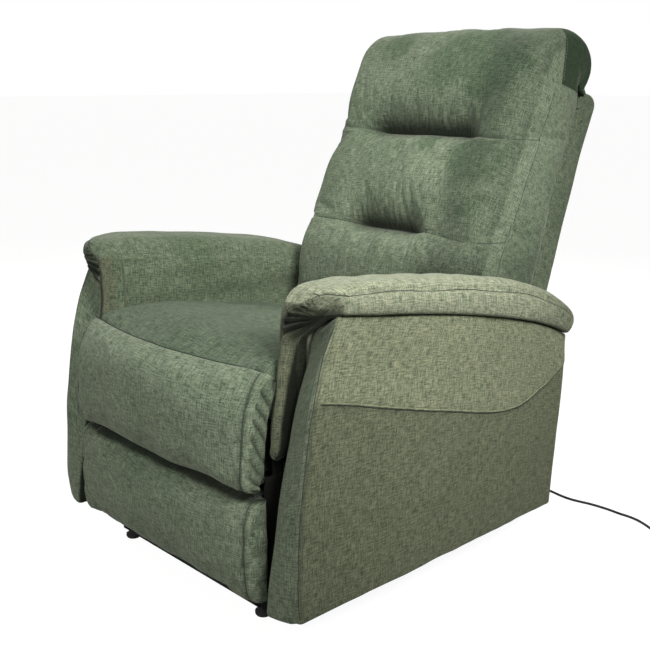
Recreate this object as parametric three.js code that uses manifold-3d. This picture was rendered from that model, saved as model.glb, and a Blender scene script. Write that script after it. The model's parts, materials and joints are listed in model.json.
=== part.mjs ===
// Lift recliner chair, in millimetres. X to the sitter's left, front towards -Y, Z up.
// The origin is on the floor under the middle of the chair.
//
// The base stays on the floor. A lift frame raises and tilts the chair on it. The chair carries
// the seat, the two arms, the reclining back and the folding footrest.
// Side views are drawn as [y, z] points and extruded along X. Every moving link keeps to its own
// lane of X, so links pass each other at every angle.

import * as THREE from 'three';
import { mergeVertices } from 'three/addons/utils/BufferGeometryUtils.js';
import Module from 'manifold-3d';

const wasm = await Module();
wasm.setup();

// Driving dimensions.
const GAP = 0.4;
const SEAT_HALF = 274;
const PANEL_HALF = 279;
const ARM_INNER = 275;
const ARM_SPLIT = 315;
const ARM_OUTER = 385;
const PAD_OVERHANG = 12;
const UPHOLSTERY_BOTTOM = 66;
const BACK_HALF = 257;
const COVER_HALF = 255;

const RAIL_CENTRE = 221;
const RAIL_SIZE = 30;
const RAIL_BOTTOM = 20;
const RAIL_TOP = RAIL_BOTTOM + RAIL_SIZE;
const TUBE_WALL = 2;
const BASE_FRONT = -461;
const BASE_REAR = 205;
const FOOT_RADIUS = 16;

// Lanes of the linkage, as distances from the middle plane.
const LANE = {
  liftArm: [205, 213],
  baseBracket: [216, 222],
  guideLink: [226, 232],
  backHinge: [230, 236],
  chassisPlate: [238, 244],
  crank: [246, 251],
  carrier: [253, 258],
  footBracket: [260, 264],
};

// Pivots, as [y, z].
const LIFT_PIVOT = [-300, 85];
const CHAIR_PIVOT = [76, 138];
const GUIDE_LOWER = [-358.7, 115.5];
const GUIDE_UPPER = [-60, 200];
const LIFT_MOTOR_PIVOT = [150, 60];
const LIFT_ROD_EYE = [-330, 215];
const BACK_PIVOT = [150, 330];
const RECLINE_MOTOR_PIVOT = [-250, 175];
const RECLINE_ROD_EYE = [130, 215];
const CRANK_PIVOT = [-380, 240];
const ELBOW_PIVOT = [-247, 151];
const FOOT_PIVOT = [-465, 170];
const CROSS_TUBE = [-290, 252];

const LIFT_MOTOR_X = -70;
const RECLINE_MOTOR_X = 70;

// Wooden seat box, inclined down to the rear.
const SEAT_FRONT = [-440, 368];
const SEAT_REAR = [30, 297];
const SEAT_RAIL_DEPTH = 40;
const SEAT_RAIL_THICKNESS = 24;
const SEAT_LENGTH = Math.hypot(SEAT_REAR[0] - SEAT_FRONT[0], SEAT_REAR[1] - SEAT_FRONT[1]);
const SPRING_WIRE = 4;

// Mains lead.
const LEAD_RADIUS = 2.75;
const LEAD_POINTS = [
  [120, 284, 27], [120, 296, 26], [121, 312, 20], [125, 330, 11], [132, 347, 4.5], [142, 363, 3],
  [158, 382, 3], [180, 400, 3], [208, 413, 3], [240, 418, 3], [276, 415, 3], [300, 411, 3],
  [327, 410, 3], [350, 414, 3], [375, 420, 3], [400, 423, 3], [425, 424, 3], [450, 423, 3],
  [476, 424, 3], [497, 421, 3], [517, 414, 3], [537, 404.5, 3], [556, 396, 3], [575, 390, 3],
];
const COIL_CENTRE = [590, 431.5];
const COIL_INNER = 21.6;
const COIL_OUTER = 38.4;
const COIL_HEIGHT = 11.6;
const PLUG_START = [606, 474];
const PLUG_LENGTH = 48;
const PLUG_RADIUS = 12.5;
const PIN_LENGTH = 18;
const PIN_SPACING = 13.3;
const PLUG_TURN = THREE.MathUtils.degToRad(60);

const SIDE_VIEW = new THREE.Matrix4().makeBasis(
  new THREE.Vector3(0, 1, 0), new THREE.Vector3(0, 0, 1), new THREE.Vector3(1, 0, 0));

// ---------------------------------------------------------------- solids

function solidOf(geometry) {
  const bare = geometry.index ? geometry.toNonIndexed() : geometry.clone();
  bare.deleteAttribute('normal');
  bare.deleteAttribute('uv');
  const merged = mergeVertices(bare, 1e-4);
  return new wasm.Manifold(new wasm.Mesh({
    numProp: 3,
    vertProperties: new Float32Array(merged.attributes.position.array),
    triVerts: new Uint32Array(merged.index.array),
  }));
}

function join(...solids) {
  return solids.reduce((whole, piece) => whole.add(piece));
}

function cut(solid, ...tools) {
  return tools.reduce((rest, tool) => rest.subtract(tool), solid);
}

function box([x0, x1], [y0, y1], [z0, z1]) {
  const geometry = new THREE.BoxGeometry(Math.abs(x1 - x0), y1 - y0, z1 - z0);
  geometry.translate((x0 + x1) / 2, (y0 + y1) / 2, (z0 + z1) / 2);
  return solidOf(geometry);
}

function rod(from, to, radius, sides = 12) {
  const start = new THREE.Vector3(...from);
  const end = new THREE.Vector3(...to);
  const along = end.clone().sub(start);
  const geometry = new THREE.CylinderGeometry(radius, radius, along.length(), sides);
  const upright = new THREE.Vector3(0, 1, 0);
  const turn = new THREE.Quaternion().setFromUnitVectors(upright, along.clone().normalize());
  geometry.applyQuaternion(turn);
  geometry.translate(...start.add(end).multiplyScalar(0.5).toArray());
  return solidOf(geometry);
}

// A pin or tube along X through the side-view point [y, z].
function crossRod([x0, x1], [y, z], radius, sides = 12) {
  return rod([Math.min(x0, x1), y, z], [Math.max(x0, x1), y, z], radius, sides);
}

function extrudeSide(shape, [x0, x1], { curveSegments = 4, soft = 0 } = {}) {
  const low = Math.min(x0, x1);
  const depth = Math.abs(x1 - x0) - 2 * soft;
  const geometry = new THREE.ExtrudeGeometry(shape, {
    depth, curveSegments, bevelEnabled: soft > 0,
    bevelThickness: soft, bevelSize: soft, bevelOffset: -soft, bevelSegments: 1,
  });
  geometry.applyMatrix4(SIDE_VIEW);
  geometry.translate(low + soft, 0, 0);
  return solidOf(geometry);
}

// A side-view outline through corners [y, z, radius]; a corner without a radius stays sharp.
// Rounding takes less than half of the shorter side next to its corner.
function outline(corners) {
  const shape = new THREE.Shape();
  const count = corners.length;
  corners.forEach(([y, z, radius = 0], i) => {
    const here = new THREE.Vector2(y, z);
    const before = new THREE.Vector2(...corners[(i + count - 1) % count]);
    const after = new THREE.Vector2(...corners[(i + 1) % count]);
    const [back, ahead] = [here.distanceTo(before), here.distanceTo(after)];
    const reach = Math.min(radius, 0.48 * back, 0.48 * ahead);
    const entry = here.clone().lerp(before, reach / back);
    const leave = here.clone().lerp(after, reach / ahead);
    if (i === 0) shape.moveTo(entry.x, entry.y);
    else shape.lineTo(entry.x, entry.y);
    if (radius > 0) shape.quadraticCurveTo(y, z, leave.x, leave.y);
  });
  shape.closePath();
  return shape;
}

// A flat link with round ends about two pivots.
function linkShape(from, to, halfWidth) {
  const angle = Math.atan2(to[1] - from[1], to[0] - from[0]);
  const quarter = Math.PI / 2;
  const shape = new THREE.Shape();
  shape.absarc(to[0], to[1], halfWidth, angle - quarter, angle + quarter, false);
  shape.absarc(from[0], from[1], halfWidth, angle + quarter, angle + 3 * quarter, false);
  shape.closePath();
  return shape;
}

// Round holes along X through side-view pivots, each given as [pivot, radius].
function drill(solid, ...holes) {
  return cut(solid, ...holes.map(([pivot, radius]) => crossRod([-300, 300], pivot, radius)));
}

function lane(side, name) {
  return LANE[name].map((x) => side * x);
}

// The point that is a distance along, and another across, the side-view line from a to b.
function along(a, b, distance, across = 0) {
  const length = Math.hypot(b[0] - a[0], b[1] - a[1]);
  const [u, v] = [(b[0] - a[0]) / length, (b[1] - a[1]) / length];
  return [a[0] + u * distance - v * across, a[1] + v * distance + u * across];
}

// ---------------------------------------------------------------- materials and nodes

function paint(color, roughness, metalness) {
  return new THREE.MeshStandardMaterial({ color, roughness, metalness });
}

const MATERIAL = {
  fabric: paint(0x56645a, 0.9, 0),
  lining: paint(0x1c1c1c, 0.95, 0),
  steel: paint(0x1b1b1c, 0.45, 0.4),
  zinc: paint(0xa9abad, 0.35, 0.9),
  plastic: paint(0x17181a, 0.5, 0),
  rubber: paint(0x101010, 0.8, 0),
  wood: paint(0xc59f6a, 0.7, 0),
};

const chair = new THREE.Group();

function place(name, solid, material) {
  const { vertProperties, triVerts } = solid.getMesh();
  const geometry = new THREE.BufferGeometry();
  geometry.setAttribute('position', new THREE.BufferAttribute(new Float32Array(vertProperties), 3));
  geometry.setIndex(new THREE.BufferAttribute(new Uint32Array(triVerts), 1));
  const mesh = new THREE.Mesh(geometry, material);
  mesh.name = name;
  chair.add(mesh);
}

const SIDES = [['left', 1], ['right', -1]];

// ---------------------------------------------------------------- base on the floor

function squareTube([x0, x1], [y0, y1], inset) {
  return box([x0 + inset, x1 - inset], [y0, y1], [RAIL_BOTTOM + inset, RAIL_TOP - inset]);
}

function baseBracket(side) {
  const plate = outline([
    [-395, RAIL_BOTTOM + 4], [-395, 118, 16], [-352, 140, 24], [-280, 106, 20], [-270, RAIL_BOTTOM + 4],
  ]);
  const guidePin = crossRod([side * 221, side * 235], GUIDE_LOWER, 7);
  return join(drill(extrudeSide(plate, lane(side, 'baseBracket')), [LIFT_PIVOT, 10.4]), guidePin);
}

function motorLugs(centre, pivot, root, radius) {
  const plates = [-1, 1].map((side) => extrudeSide(linkShape(root, pivot, radius),
    [centre + side * 10, centre + side * 16]));
  return join(...plates, crossRod([centre - 18, centre + 18], pivot, 6, 10));
}

function baseFrame() {
  const half = RAIL_SIZE / 2;
  const tubes = [];
  const bores = [];
  for (const [, side] of SIDES) {
    const centre = side * RAIL_CENTRE;
    tubes.push(squareTube([centre - half, centre + half], [BASE_FRONT, BASE_REAR], 0));
    bores.push(squareTube([centre - half, centre + half], [BASE_FRONT - 1, BASE_REAR + 1], TUBE_WALL));
  }
  for (const y of [BASE_FRONT, BASE_REAR - RAIL_SIZE]) {
    const reach = [-RAIL_CENTRE, RAIL_CENTRE];
    tubes.push(squareTube(reach, [y, y + RAIL_SIZE], 0));
    bores.push(box(reach, [y + TUBE_WALL, y + RAIL_SIZE - TUBE_WALL],
      [RAIL_BOTTOM + TUBE_WALL, RAIL_TOP - TUBE_WALL]));
  }
  const hollow = cut(join(...tubes), join(...bores));
  const lugs = motorLugs(LIFT_MOTOR_X, LIFT_MOTOR_PIVOT, [BASE_REAR - RAIL_SIZE + 4, 38], 12);
  const trimmed = cut(lugs, box([-130, 0], [BASE_REAR - RAIL_SIZE + 1, BASE_REAR], [0, 100]));
  const brackets = SIDES.map(([, side]) => cut(baseBracket(side),
    box([-240, 240], [-400, -260], [0, RAIL_TOP - 1])));
  return join(hollow, trimmed, ...brackets);
}

function glide(x, y) {
  const r = FOOT_RADIUS;
  const profile = [[0, 0], [r - 2, 0], [r, 3], [r, 8], [6, 12], [6, 19.6], [0, 19.6]];
  const geometry = new THREE.LatheGeometry(profile.map((p) => new THREE.Vector2(...p)), 16);
  geometry.rotateX(Math.PI / 2);
  geometry.translate(x, y, 0);
  return solidOf(geometry);
}

function powerSupply() {
  const shell = outline([[206, 8, 5], [206, 48, 5], [249, 48, 5], [249, 8, 5]]);
  return extrudeSide(shell, [40, 160], { curveSegments: 2 });
}

function strainRelief() {
  const profile = [[0, 0], [8, 0], [8, 3], [6, 4], [4.2, 33.4], [0, 33.4]];
  const geometry = new THREE.LatheGeometry(profile.map((p) => new THREE.Vector2(...p)), 16);
  geometry.translate(120, 249 + GAP, 27);
  return solidOf(geometry);
}

place('base_frame', baseFrame(), MATERIAL.steel);
for (const [label, side] of SIDES) {
  place(`foot_front_${label}`, glide(side * RAIL_CENTRE, -446), MATERIAL.rubber);
  place(`foot_rear_${label}`, glide(side * RAIL_CENTRE, 190), MATERIAL.rubber);
}
place('power_supply', powerSupply(), MATERIAL.plastic);
place('mains_strain_relief', strainRelief(), MATERIAL.rubber);

// ---------------------------------------------------------------- mains lead

function leadTube() {
  const route = new THREE.CatmullRomCurve3(LEAD_POINTS.map((p) => new THREE.Vector3(...p)));
  const section = new THREE.Shape().absarc(0, 0, LEAD_RADIUS, 0, 2 * Math.PI, false);
  const geometry = new THREE.ExtrudeGeometry(section, { steps: 44, curveSegments: 4, extrudePath: route });
  return solidOf(geometry);
}

function leadCoil() {
  const profile = [
    [COIL_INNER, 2], [COIL_INNER + 2, 0.1], [COIL_OUTER - 2, 0.1], [COIL_OUTER, 2],
    [COIL_OUTER, COIL_HEIGHT - 2], [COIL_OUTER - 2, COIL_HEIGHT], [COIL_INNER + 2, COIL_HEIGHT],
    [COIL_INNER, COIL_HEIGHT - 2], [COIL_INNER, 2],
  ];
  const geometry = new THREE.LatheGeometry(profile.map((p) => new THREE.Vector2(...p)), 20);
  geometry.rotateX(Math.PI / 2);
  geometry.translate(...COIL_CENTRE, 0);
  return solidOf(geometry);
}

// A body of revolution along +Y, then turned and moved to lie beside the coil, with its two pins.
function mainsPlug() {
  const profile = [[0, 0], [4, 0], [5, 14], [11, 20], [PLUG_RADIUS, 46], [11, PLUG_LENGTH], [0, PLUG_LENGTH]];
  const body = new THREE.LatheGeometry(profile.map((p) => new THREE.Vector2(...p)), 16);
  const lie = (geometry) => {
    geometry.rotateZ(PLUG_TURN);
    geometry.translate(...PLUG_START, PLUG_RADIUS + 0.3);
    return solidOf(geometry);
  };
  const pins = [-1, 1].map((side) => {
    const pin = new THREE.CylinderGeometry(2, 2, PIN_LENGTH + 1, 10);
    pin.translate(side * PIN_SPACING / 2, PLUG_LENGTH + (PIN_LENGTH - 1) / 2, 0);
    return lie(pin);
  });
  return join(lie(body), ...pins);
}

place('mains_cord', leadTube(), MATERIAL.rubber);
place('mains_cord_coil', leadCoil(), MATERIAL.rubber);
place('mains_plug', mainsPlug(), MATERIAL.plastic);

// ---------------------------------------------------------------- lift linkage

function liftFrame() {
  const arm = linkShape(LIFT_PIVOT, CHAIR_PIVOT, 18);
  const arms = SIDES.map(([, side]) => extrudeSide(arm, lane(side, 'liftArm')));
  const lowerShaft = crossRod([-225, 225], LIFT_PIVOT, 10);
  const upperShaft = crossRod([-247, 247], CHAIR_PIVOT, 10);
  return join(...arms, lowerShaft, upperShaft);
}

function guideLink(side) {
  const link = extrudeSide(linkShape(GUIDE_LOWER, GUIDE_UPPER, 15), lane(side, 'guideLink'));
  return drill(link, [GUIDE_LOWER, 7.4], [GUIDE_UPPER, 10]);
}

// A linear drive: gearbox and motor at the pivot, a bored outer tube, and a rod that slides in it.
function driveBody(x, pivot, eye, tubeEnd, motorSide) {
  const at = (distance, across = 0, shift = 0) => {
    const [y, z] = along(pivot, eye, distance, across);
    return [x + shift, y, z];
  };
  const lug = extrudeSide(linkShape(pivot, along(pivot, eye, 34), 12), [x - 6, x + 6]);
  const gearbox = extrudeSide(outline([
    [...along(pivot, eye, 24, -24), 6], [...along(pivot, eye, 24, 24), 6],
    [...along(pivot, eye, 84, 24), 6], [...along(pivot, eye, 84, -24), 6],
  ]), motorSide > 0 ? [x - 24, x + 78] : [x - 78, x + 24], { curveSegments: 2 });
  const tube = rod(at(80), at(tubeEnd), 18, 16);
  const motor = rod(at(80, 0, motorSide * 50), at(190, 0, motorSide * 50), 24, 16);
  const bore = rod(at(96), at(tubeEnd + 5), 10.5, 12);
  return drill(cut(join(lug, gearbox, tube, motor), bore), [pivot, 6.4]);
}

function driveRod(x, pivot, eye, tail) {
  const length = Math.hypot(eye[0] - pivot[0], eye[1] - pivot[1]);
  const at = (distance) => [x, ...along(pivot, eye, distance)];
  const shaft = rod(at(tail), at(length - 8), 9.5, 12);
  const lug = extrudeSide(linkShape(along(pivot, eye, length - 16), eye, 12), [x - 6, x + 6]);
  return drill(join(shaft, lug), [eye, 6.4]);
}

place('lift_frame', liftFrame(), MATERIAL.steel);
for (const [label, side] of SIDES) place(`lift_guide_link_${label}`, guideLink(side), MATERIAL.steel);
place('lift_actuator',
  driveBody(LIFT_MOTOR_X, LIFT_MOTOR_PIVOT, LIFT_ROD_EYE, 430, -1), MATERIAL.plastic);
place('lift_actuator_rod', driveRod(LIFT_MOTOR_X, LIFT_MOTOR_PIVOT, LIFT_ROD_EYE, 120), MATERIAL.zinc);

// ---------------------------------------------------------------- seat chassis

// Height of the seat box's underside at a depth y.
function seatUnderside(y) {
  const slope = (SEAT_REAR[1] - SEAT_FRONT[1]) / (SEAT_REAR[0] - SEAT_FRONT[0]);
  return SEAT_FRONT[1] + slope * (y - SEAT_FRONT[0]) - SEAT_RAIL_DEPTH;
}

function chassisPlate(side) {
  const plate = outline([
    [-412, 226, 10], [-412, seatUnderside(-412) - 2, 8], [36, seatUnderside(36) - 2], [126, 350, 18],
    [172, 352, 18], [176, 312, 18], [112, 190, 30], [104, 112, 24], [46, 112, 24], [-120, 182, 40],
    [-330, 214, 30],
  ]);
  const flange = extrudeSide(outline([
    [-330, seatUnderside(-330) - 4], [-330, seatUnderside(-330) - GAP],
    [10, seatUnderside(10) - GAP], [10, seatUnderside(10) - 4],
  ]), [side * 240, side * 268]);
  const guideStub = crossRod([side * 240, side * 234], GUIDE_UPPER, 7);
  const drilled = drill(extrudeSide(plate, lane(side, 'chassisPlate')),
    [CRANK_PIVOT, 10.4], [CHAIR_PIVOT, 10.4], [BACK_PIVOT, 8.4]);
  return join(drilled, flange, guideStub);
}

function chassisCrossTube() {
  const reach = LANE.chassisPlate[0] - GAP;
  const tube = crossRod([-reach, reach], CROSS_TUBE, 16, 20);
  const liftLugs = [-1, 1].map((side) => extrudeSide(linkShape(CROSS_TUBE, LIFT_ROD_EYE, 12),
    [LIFT_MOTOR_X + side * 10, LIFT_MOTOR_X + side * 16]));
  const reclineLugs = motorLugs(RECLINE_MOTOR_X, RECLINE_MOTOR_PIVOT, CROSS_TUBE, 12);
  return join(tube, ...liftLugs, reclineLugs);
}

function seatSideRail(side) {
  const [front, rear] = [SEAT_FRONT[0], SEAT_REAR[0]];
  const shape = outline([SEAT_FRONT, SEAT_REAR, [rear, seatUnderside(rear)], [front, seatUnderside(front)]]);
  return extrudeSide(shape, [side * (SEAT_HALF + 0.5), side * (SEAT_HALF + 0.5 - SEAT_RAIL_THICKNESS)]);
}

function seatCrossRail(from, to) {
  const reach = SEAT_HALF + 0.5 - SEAT_RAIL_THICKNESS - GAP;
  const [start, end] = [along(SEAT_FRONT, SEAT_REAR, from), along(SEAT_FRONT, SEAT_REAR, to)];
  const shape = outline([start, end, [end[0], seatUnderside(end[0])], [start[0], seatUnderside(start[0])]]);
  return extrudeSide(shape, [-reach, reach]);
}

// Flat pieces lie in the plane of the seat box: x across, s along it, and a depth below its top.
function extrudeInSeat(points, depth) {
  const shape = new THREE.Shape(points.map((p) => new THREE.Vector2(...p)));
  const geometry = new THREE.ExtrudeGeometry(shape, { depth: SPRING_WIRE, bevelEnabled: false });
  const ahead = new THREE.Vector3(0, SEAT_REAR[0] - SEAT_FRONT[0], SEAT_REAR[1] - SEAT_FRONT[1]).normalize();
  const across = new THREE.Vector3(1, 0, 0);
  geometry.applyMatrix4(new THREE.Matrix4().makeBasis(across, ahead, across.clone().cross(ahead)));
  geometry.translate(0, ...along(SEAT_FRONT, SEAT_REAR, 0, -depth));
  return solidOf(geometry);
}

function zigzagSpring(x, start, end) {
  const turns = 8;
  const reach = 22;
  const half = SPRING_WIRE * 0.7;
  const edge = [];
  for (let i = 0; i <= turns; i += 1) {
    edge.push([x + (i % 2 ? reach : -reach), start + (end - start) * i / turns]);
  }
  const near = edge.map(([u, s]) => [u - half, s]);
  const far = edge.map(([u, s]) => [u + half, s]).reverse();
  return extrudeInSeat([...near, ...far], 10);
}

function springDeck() {
  const [start, end] = [SEAT_RAIL_THICKNESS + 4, SEAT_LENGTH - SEAT_RAIL_THICKNESS - 4];
  const wires = [-180, -90, 0, 90, 180].map((x) => zigzagSpring(x, start, end));
  const tie = (s) => [[-215, s], [215, s], [215, s + SPRING_WIRE], [-215, s + SPRING_WIRE]];
  const ties = [start + 95, end - 95].map((s) => extrudeInSeat(tie(s), 10));
  return join(...wires, ...ties);
}

for (const [label, side] of SIDES) place(`chassis_plate_${label}`, chassisPlate(side), MATERIAL.steel);
place('chassis_cross_tube', chassisCrossTube(), MATERIAL.steel);
for (const [label, side] of SIDES) place(`seat_side_rail_${label}`, seatSideRail(side), MATERIAL.wood);
place('seat_front_rail', seatCrossRail(0, SEAT_RAIL_THICKNESS), MATERIAL.wood);
place('seat_rear_rail', seatCrossRail(SEAT_LENGTH - SEAT_RAIL_THICKNESS, SEAT_LENGTH), MATERIAL.wood);
place('seat_springs', springDeck(), MATERIAL.zinc);

// ---------------------------------------------------------------- seat upholstery

function seatCushion() {
  const shape = outline([
    [-469.6, 376], [-469.6, 494, 24], [-430, 509, 24], [-344, 506, 40], [-211, 490, 40], [-81, 468, 40],
    [33, 443, 24], [33, 301.5], [-439, 372.5],
  ]);
  return extrudeSide(shape, [-SEAT_HALF, SEAT_HALF], { curveSegments: 3, soft: 6 });
}

function seatFrontPad() {
  const front = outline([
    [-480, 487, 3], [-492, 484, 10], [-506, 464, 10], [-521, 424, 20], [-530, 381, 20], [-535, 329, 20],
    [-535, 284, 8], [-524, 276, 6], [-480, 276],
  ]);
  const tuck = outline([
    [-483, 487], [-483, 277], [-462, 282, 8], [-441, 306], [-441, 368], [-470.2, 374], [-470.2, 486, 2],
  ]);
  return join(extrudeSide(front, [-PANEL_HALF, PANEL_HALF], { curveSegments: 3 }),
    extrudeSide(tuck, [-SEAT_HALF + 1, SEAT_HALF - 1]));
}

place('seat_cushion', seatCushion(), MATERIAL.fabric);
place('seat_front_pad', seatFrontPad(), MATERIAL.fabric);

// ---------------------------------------------------------------- arms

const WING_TOP = [
  [-414, 594], [-315, 580], [-185, 561], [-100, 546], [-9, 527], [90, 505], [178, 480], [250, 450],
];
const WING_FRONT = [
  [-510, 66], [-513, 129], [-498, 258], [-486, 341], [-470, 430], [-450, 521], [-414, 594],
];

function wingOutline() {
  const shape = new THREE.Shape();
  shape.moveTo(...WING_FRONT[0]);
  shape.splineThru(WING_FRONT.slice(1).map((p) => new THREE.Vector2(...p)));
  shape.splineThru(WING_TOP.slice(1).map((p) => new THREE.Vector2(...p)));
  shape.quadraticCurveTo(264, 444, 264, 420);
  shape.quadraticCurveTo(256, 230, 234, UPHOLSTERY_BOTTOM);
  shape.closePath();
  return shape;
}

function armBoardOutline(margin) {
  const m = margin;
  return outline([
    [-462 - m, 96 - m], [-446 - m, 330], [-405 - m, 540 + m], [-300, 534 + m], [-60, 492 + m],
    [212 + m, 420 + m], [198 + m, 96 - m],
  ]);
}

function wing(side) {
  const reach = [side * (ARM_SPLIT + GAP), side * ARM_OUTER];
  const panel = extrudeSide(wingOutline(), reach, { curveSegments: 3, soft: 6 });
  return cut(panel, extrudeSide(armBoardOutline(0.5), [side * (ARM_SPLIT - 1), side * (ARM_SPLIT + 20)]));
}

function armBoard(side) {
  return extrudeSide(armBoardOutline(0), [side * (ARM_SPLIT + GAP), side * (ARM_SPLIT + 19)]);
}

function innerArm(side) {
  const shape = outline([
    [-438, 242, 10], [-438, 430], [-432, 520, 20], [-408, 575, 12], [-315, 578], [-185, 559], [-100, 544],
    [-9, 525], [90, 503], [178, 477], [244, 448, 10], [234, 242, 10],
  ]);
  return extrudeSide(shape, [side * ARM_INNER, side * ARM_SPLIT - side * GAP], { curveSegments: 3 });
}

function armPad(side) {
  const pad = outline([
    [-412, 595.5], [-436, 600, 8], [-447, 622, 10], [-436, 645, 14], [-380, 646, 20], [-274, 634, 20],
    [-165, 620, 20], [-48, 603, 20], [45, 587, 20], [137, 562, 30], [215, 530, 30], [268, 490, 20],
    [270, 456, 12], [252, 450.6], [178, 481.5], [90, 506.5], [-9, 528.5], [-100, 547.5], [-185, 562.5],
    [-315, 581.5],
  ]);
  const tongue = outline([
    [-409, 598], [-436, 604], [-452, 560, 14], [-464, 500, 14], [-474, 440, 20], [-480, 386, 20],
    [-477, 336, 8], [-462, 336, 8], [-442, 386, 10], [-440, 440, 10], [-434, 520, 14], [-410, 577],
  ]);
  const reach = [side * ARM_INNER, side * (ARM_OUTER + PAD_OVERHANG)];
  return join(extrudeSide(pad, reach, { curveSegments: 3, soft: 5 }),
    extrudeSide(tongue, [side * ARM_INNER, side * (ARM_SPLIT - GAP)], { curveSegments: 3 }));
}

for (const [label, side] of SIDES) {
  place(`wing_${label}`, wing(side), MATERIAL.fabric);
  place(`arm_board_${label}`, armBoard(side), MATERIAL.wood);
  place(`inner_arm_${label}`, innerArm(side), MATERIAL.fabric);
  place(`arm_pad_${label}`, armPad(side), MATERIAL.fabric);
}
const skirt = box([-ARM_SPLIT + GAP, ARM_SPLIT - GAP], [212, 228], [UPHOLSTERY_BOTTOM + 2, 178]);
place('rear_skirt', skirt, MATERIAL.fabric);

// ---------------------------------------------------------------- back

// Lines of the back as [y, z]: face of the cushions, the join behind them, and the rear of the cover.
const JOIN_LINE = [[232, 330], [268, 430], [347, 650], [401, 799], [455, 925]];
const COVER_DEPTH = 74;

function joinAt(z) {
  let i = 1;
  while (i < JOIN_LINE.length - 1 && z > JOIN_LINE[i][1]) i += 1;
  const [[y0, z0], [y1, z1]] = [JOIN_LINE[i - 1], JOIN_LINE[i]];
  return y0 + (y1 - y0) * (z - z0) / (z1 - z0);
}

function backLine(heights, offset) {
  return heights.map((z) => [joinAt(z) + offset, z]);
}

const COVER_HEIGHTS = [270, 430, 650, 799, 925];

function backCover() {
  const wall = 7;
  const inside = COVER_HEIGHTS.map((z, i) => {
    if (i === 0) return z + wall;
    return i === COVER_HEIGHTS.length - 1 ? z - wall : z;
  });
  const shell = outline([
    ...backLine(COVER_HEIGHTS, 1), ...backLine([...COVER_HEIGHTS].reverse(), COVER_DEPTH),
  ]);
  const hollow = outline([
    ...backLine(inside, -20), ...backLine([...inside].reverse(), COVER_DEPTH - wall),
  ]);
  return cut(extrudeSide(shell, [-COVER_HALF, COVER_HALF]),
    extrudeSide(hollow, [wall - COVER_HALF, COVER_HALF - wall]));
}

function backPost(side) {
  const heights = [285, 430, 650, 799, 910];
  const shape = outline([...backLine(heights, 8), ...backLine([...heights].reverse(), COVER_DEPTH - 9)]);
  return extrudeSide(shape, [side * 205, side * (LANE.backHinge[0] - GAP)]);
}

function backRail(low, high) {
  const shape = outline([...backLine([low, high], 12), ...backLine([high, low], COVER_DEPTH - 12)]);
  return extrudeSide(shape, [-205 + GAP, 205 - GAP]);
}

// The bottom rail carries the lever that the recline rod pushes.
function backBottomRail() {
  const root = [joinAt(350) + 30, 350];
  const plates = [-1, 1].map((side) => extrudeSide(linkShape(root, RECLINE_ROD_EYE, 11),
    [RECLINE_MOTOR_X + side * 10, RECLINE_MOTOR_X + side * 16]));
  return join(backRail(310, 368), ...plates);
}

function backHinge(side) {
  const root = [joinAt(345) + 34, 345];
  const plate = extrudeSide(linkShape(BACK_PIVOT, root, 20), lane(side, 'backHinge'));
  return join(plate, crossRod([side * 232, side * 247], BACK_PIVOT, 8));
}

function webbing() {
  const across = [360, 480, 600, 720, 840].map((z) => {
    const shape = outline([...backLine([z, z + 60], 2), ...backLine([z + 60, z], 5)]);
    return extrudeSide(shape, [-228, 228]);
  });
  const heights = [362, 430, 650, 799, 906];
  const upShape = outline([...backLine(heights, 3), ...backLine([...heights].reverse(), 6)]);
  const up = [-90, 90].map((x) => extrudeSide(upShape, [x - 30, x + 30]));
  return join(...across, ...up);
}

function backCushion(face, rear) {
  return extrudeSide(outline([...face, ...rear]), [-BACK_HALF, BACK_HALF], { curveSegments: 3, soft: 8 });
}

place('back_cover', backCover(), MATERIAL.fabric);
for (const [label, side] of SIDES) {
  place(`back_post_${label}`, backPost(side), MATERIAL.wood);
  place(`back_hinge_${label}`, backHinge(side), MATERIAL.steel);
}
place('back_top_rail', backRail(850, 905), MATERIAL.wood);
place('back_middle_rail', backRail(570, 625), MATERIAL.wood);
place('back_bottom_rail', backBottomRail(), MATERIAL.wood);
place('back_webbing', webbing(), MATERIAL.lining);

place('lumbar_cushion', backCushion(
  [[46, 408, 14], [40, 440, 20], [56, 510, 30], [76, 593, 30], [110, 640, 16], [150, 647, 6]],
  [[joinAt(649) - 1, 647], [joinAt(430) - 1, 430], [joinAt(408) - 1, 408]]), MATERIAL.fabric);
place('middle_cushion', backCushion(
  [[150, 652, 6], [114, 662, 16], [138, 715, 30], [162, 765, 30], [200, 838, 20], [224, 856, 8]],
  [[joinAt(856) - 1, 856], [joinAt(799) - 1, 799], [joinAt(652) - 1, 652]]), MATERIAL.fabric);
place('head_cushion', backCushion(
  [[230, 861, 8], [214, 872, 12], [232, 920, 20], [266, 984, 30], [312, 1050, 24], [372, 1084, 30],
    [450, 1089, 26], [492, 1062, 24], [504, 1008, 20], [486, 937, 8]],
  [[462, 934], [joinAt(924) - 1, 922], [joinAt(861) - 1, 861]]), MATERIAL.fabric);

place('recline_actuator',
  driveBody(RECLINE_MOTOR_X, RECLINE_MOTOR_PIVOT, RECLINE_ROD_EYE, 250, 1), MATERIAL.plastic);
place('recline_actuator_rod',
  driveRod(RECLINE_MOTOR_X, RECLINE_MOTOR_PIVOT, RECLINE_ROD_EYE, 165), MATERIAL.zinc);

// ---------------------------------------------------------------- footrest

function crank(side) {
  const link = extrudeSide(linkShape(CRANK_PIVOT, ELBOW_PIVOT, 14), lane(side, 'crank'));
  const elbowPin = crossRod([side * 249, side * 260], ELBOW_PIVOT, 5, 12);
  return join(drill(link, [CRANK_PIVOT, 10.4]), elbowPin);
}

function carrier(side) {
  const link = extrudeSide(linkShape(ELBOW_PIVOT, FOOT_PIVOT, 12), lane(side, 'carrier'));
  return drill(link, [ELBOW_PIVOT, 5.4], [FOOT_PIVOT, 5.4]);
}

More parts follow.
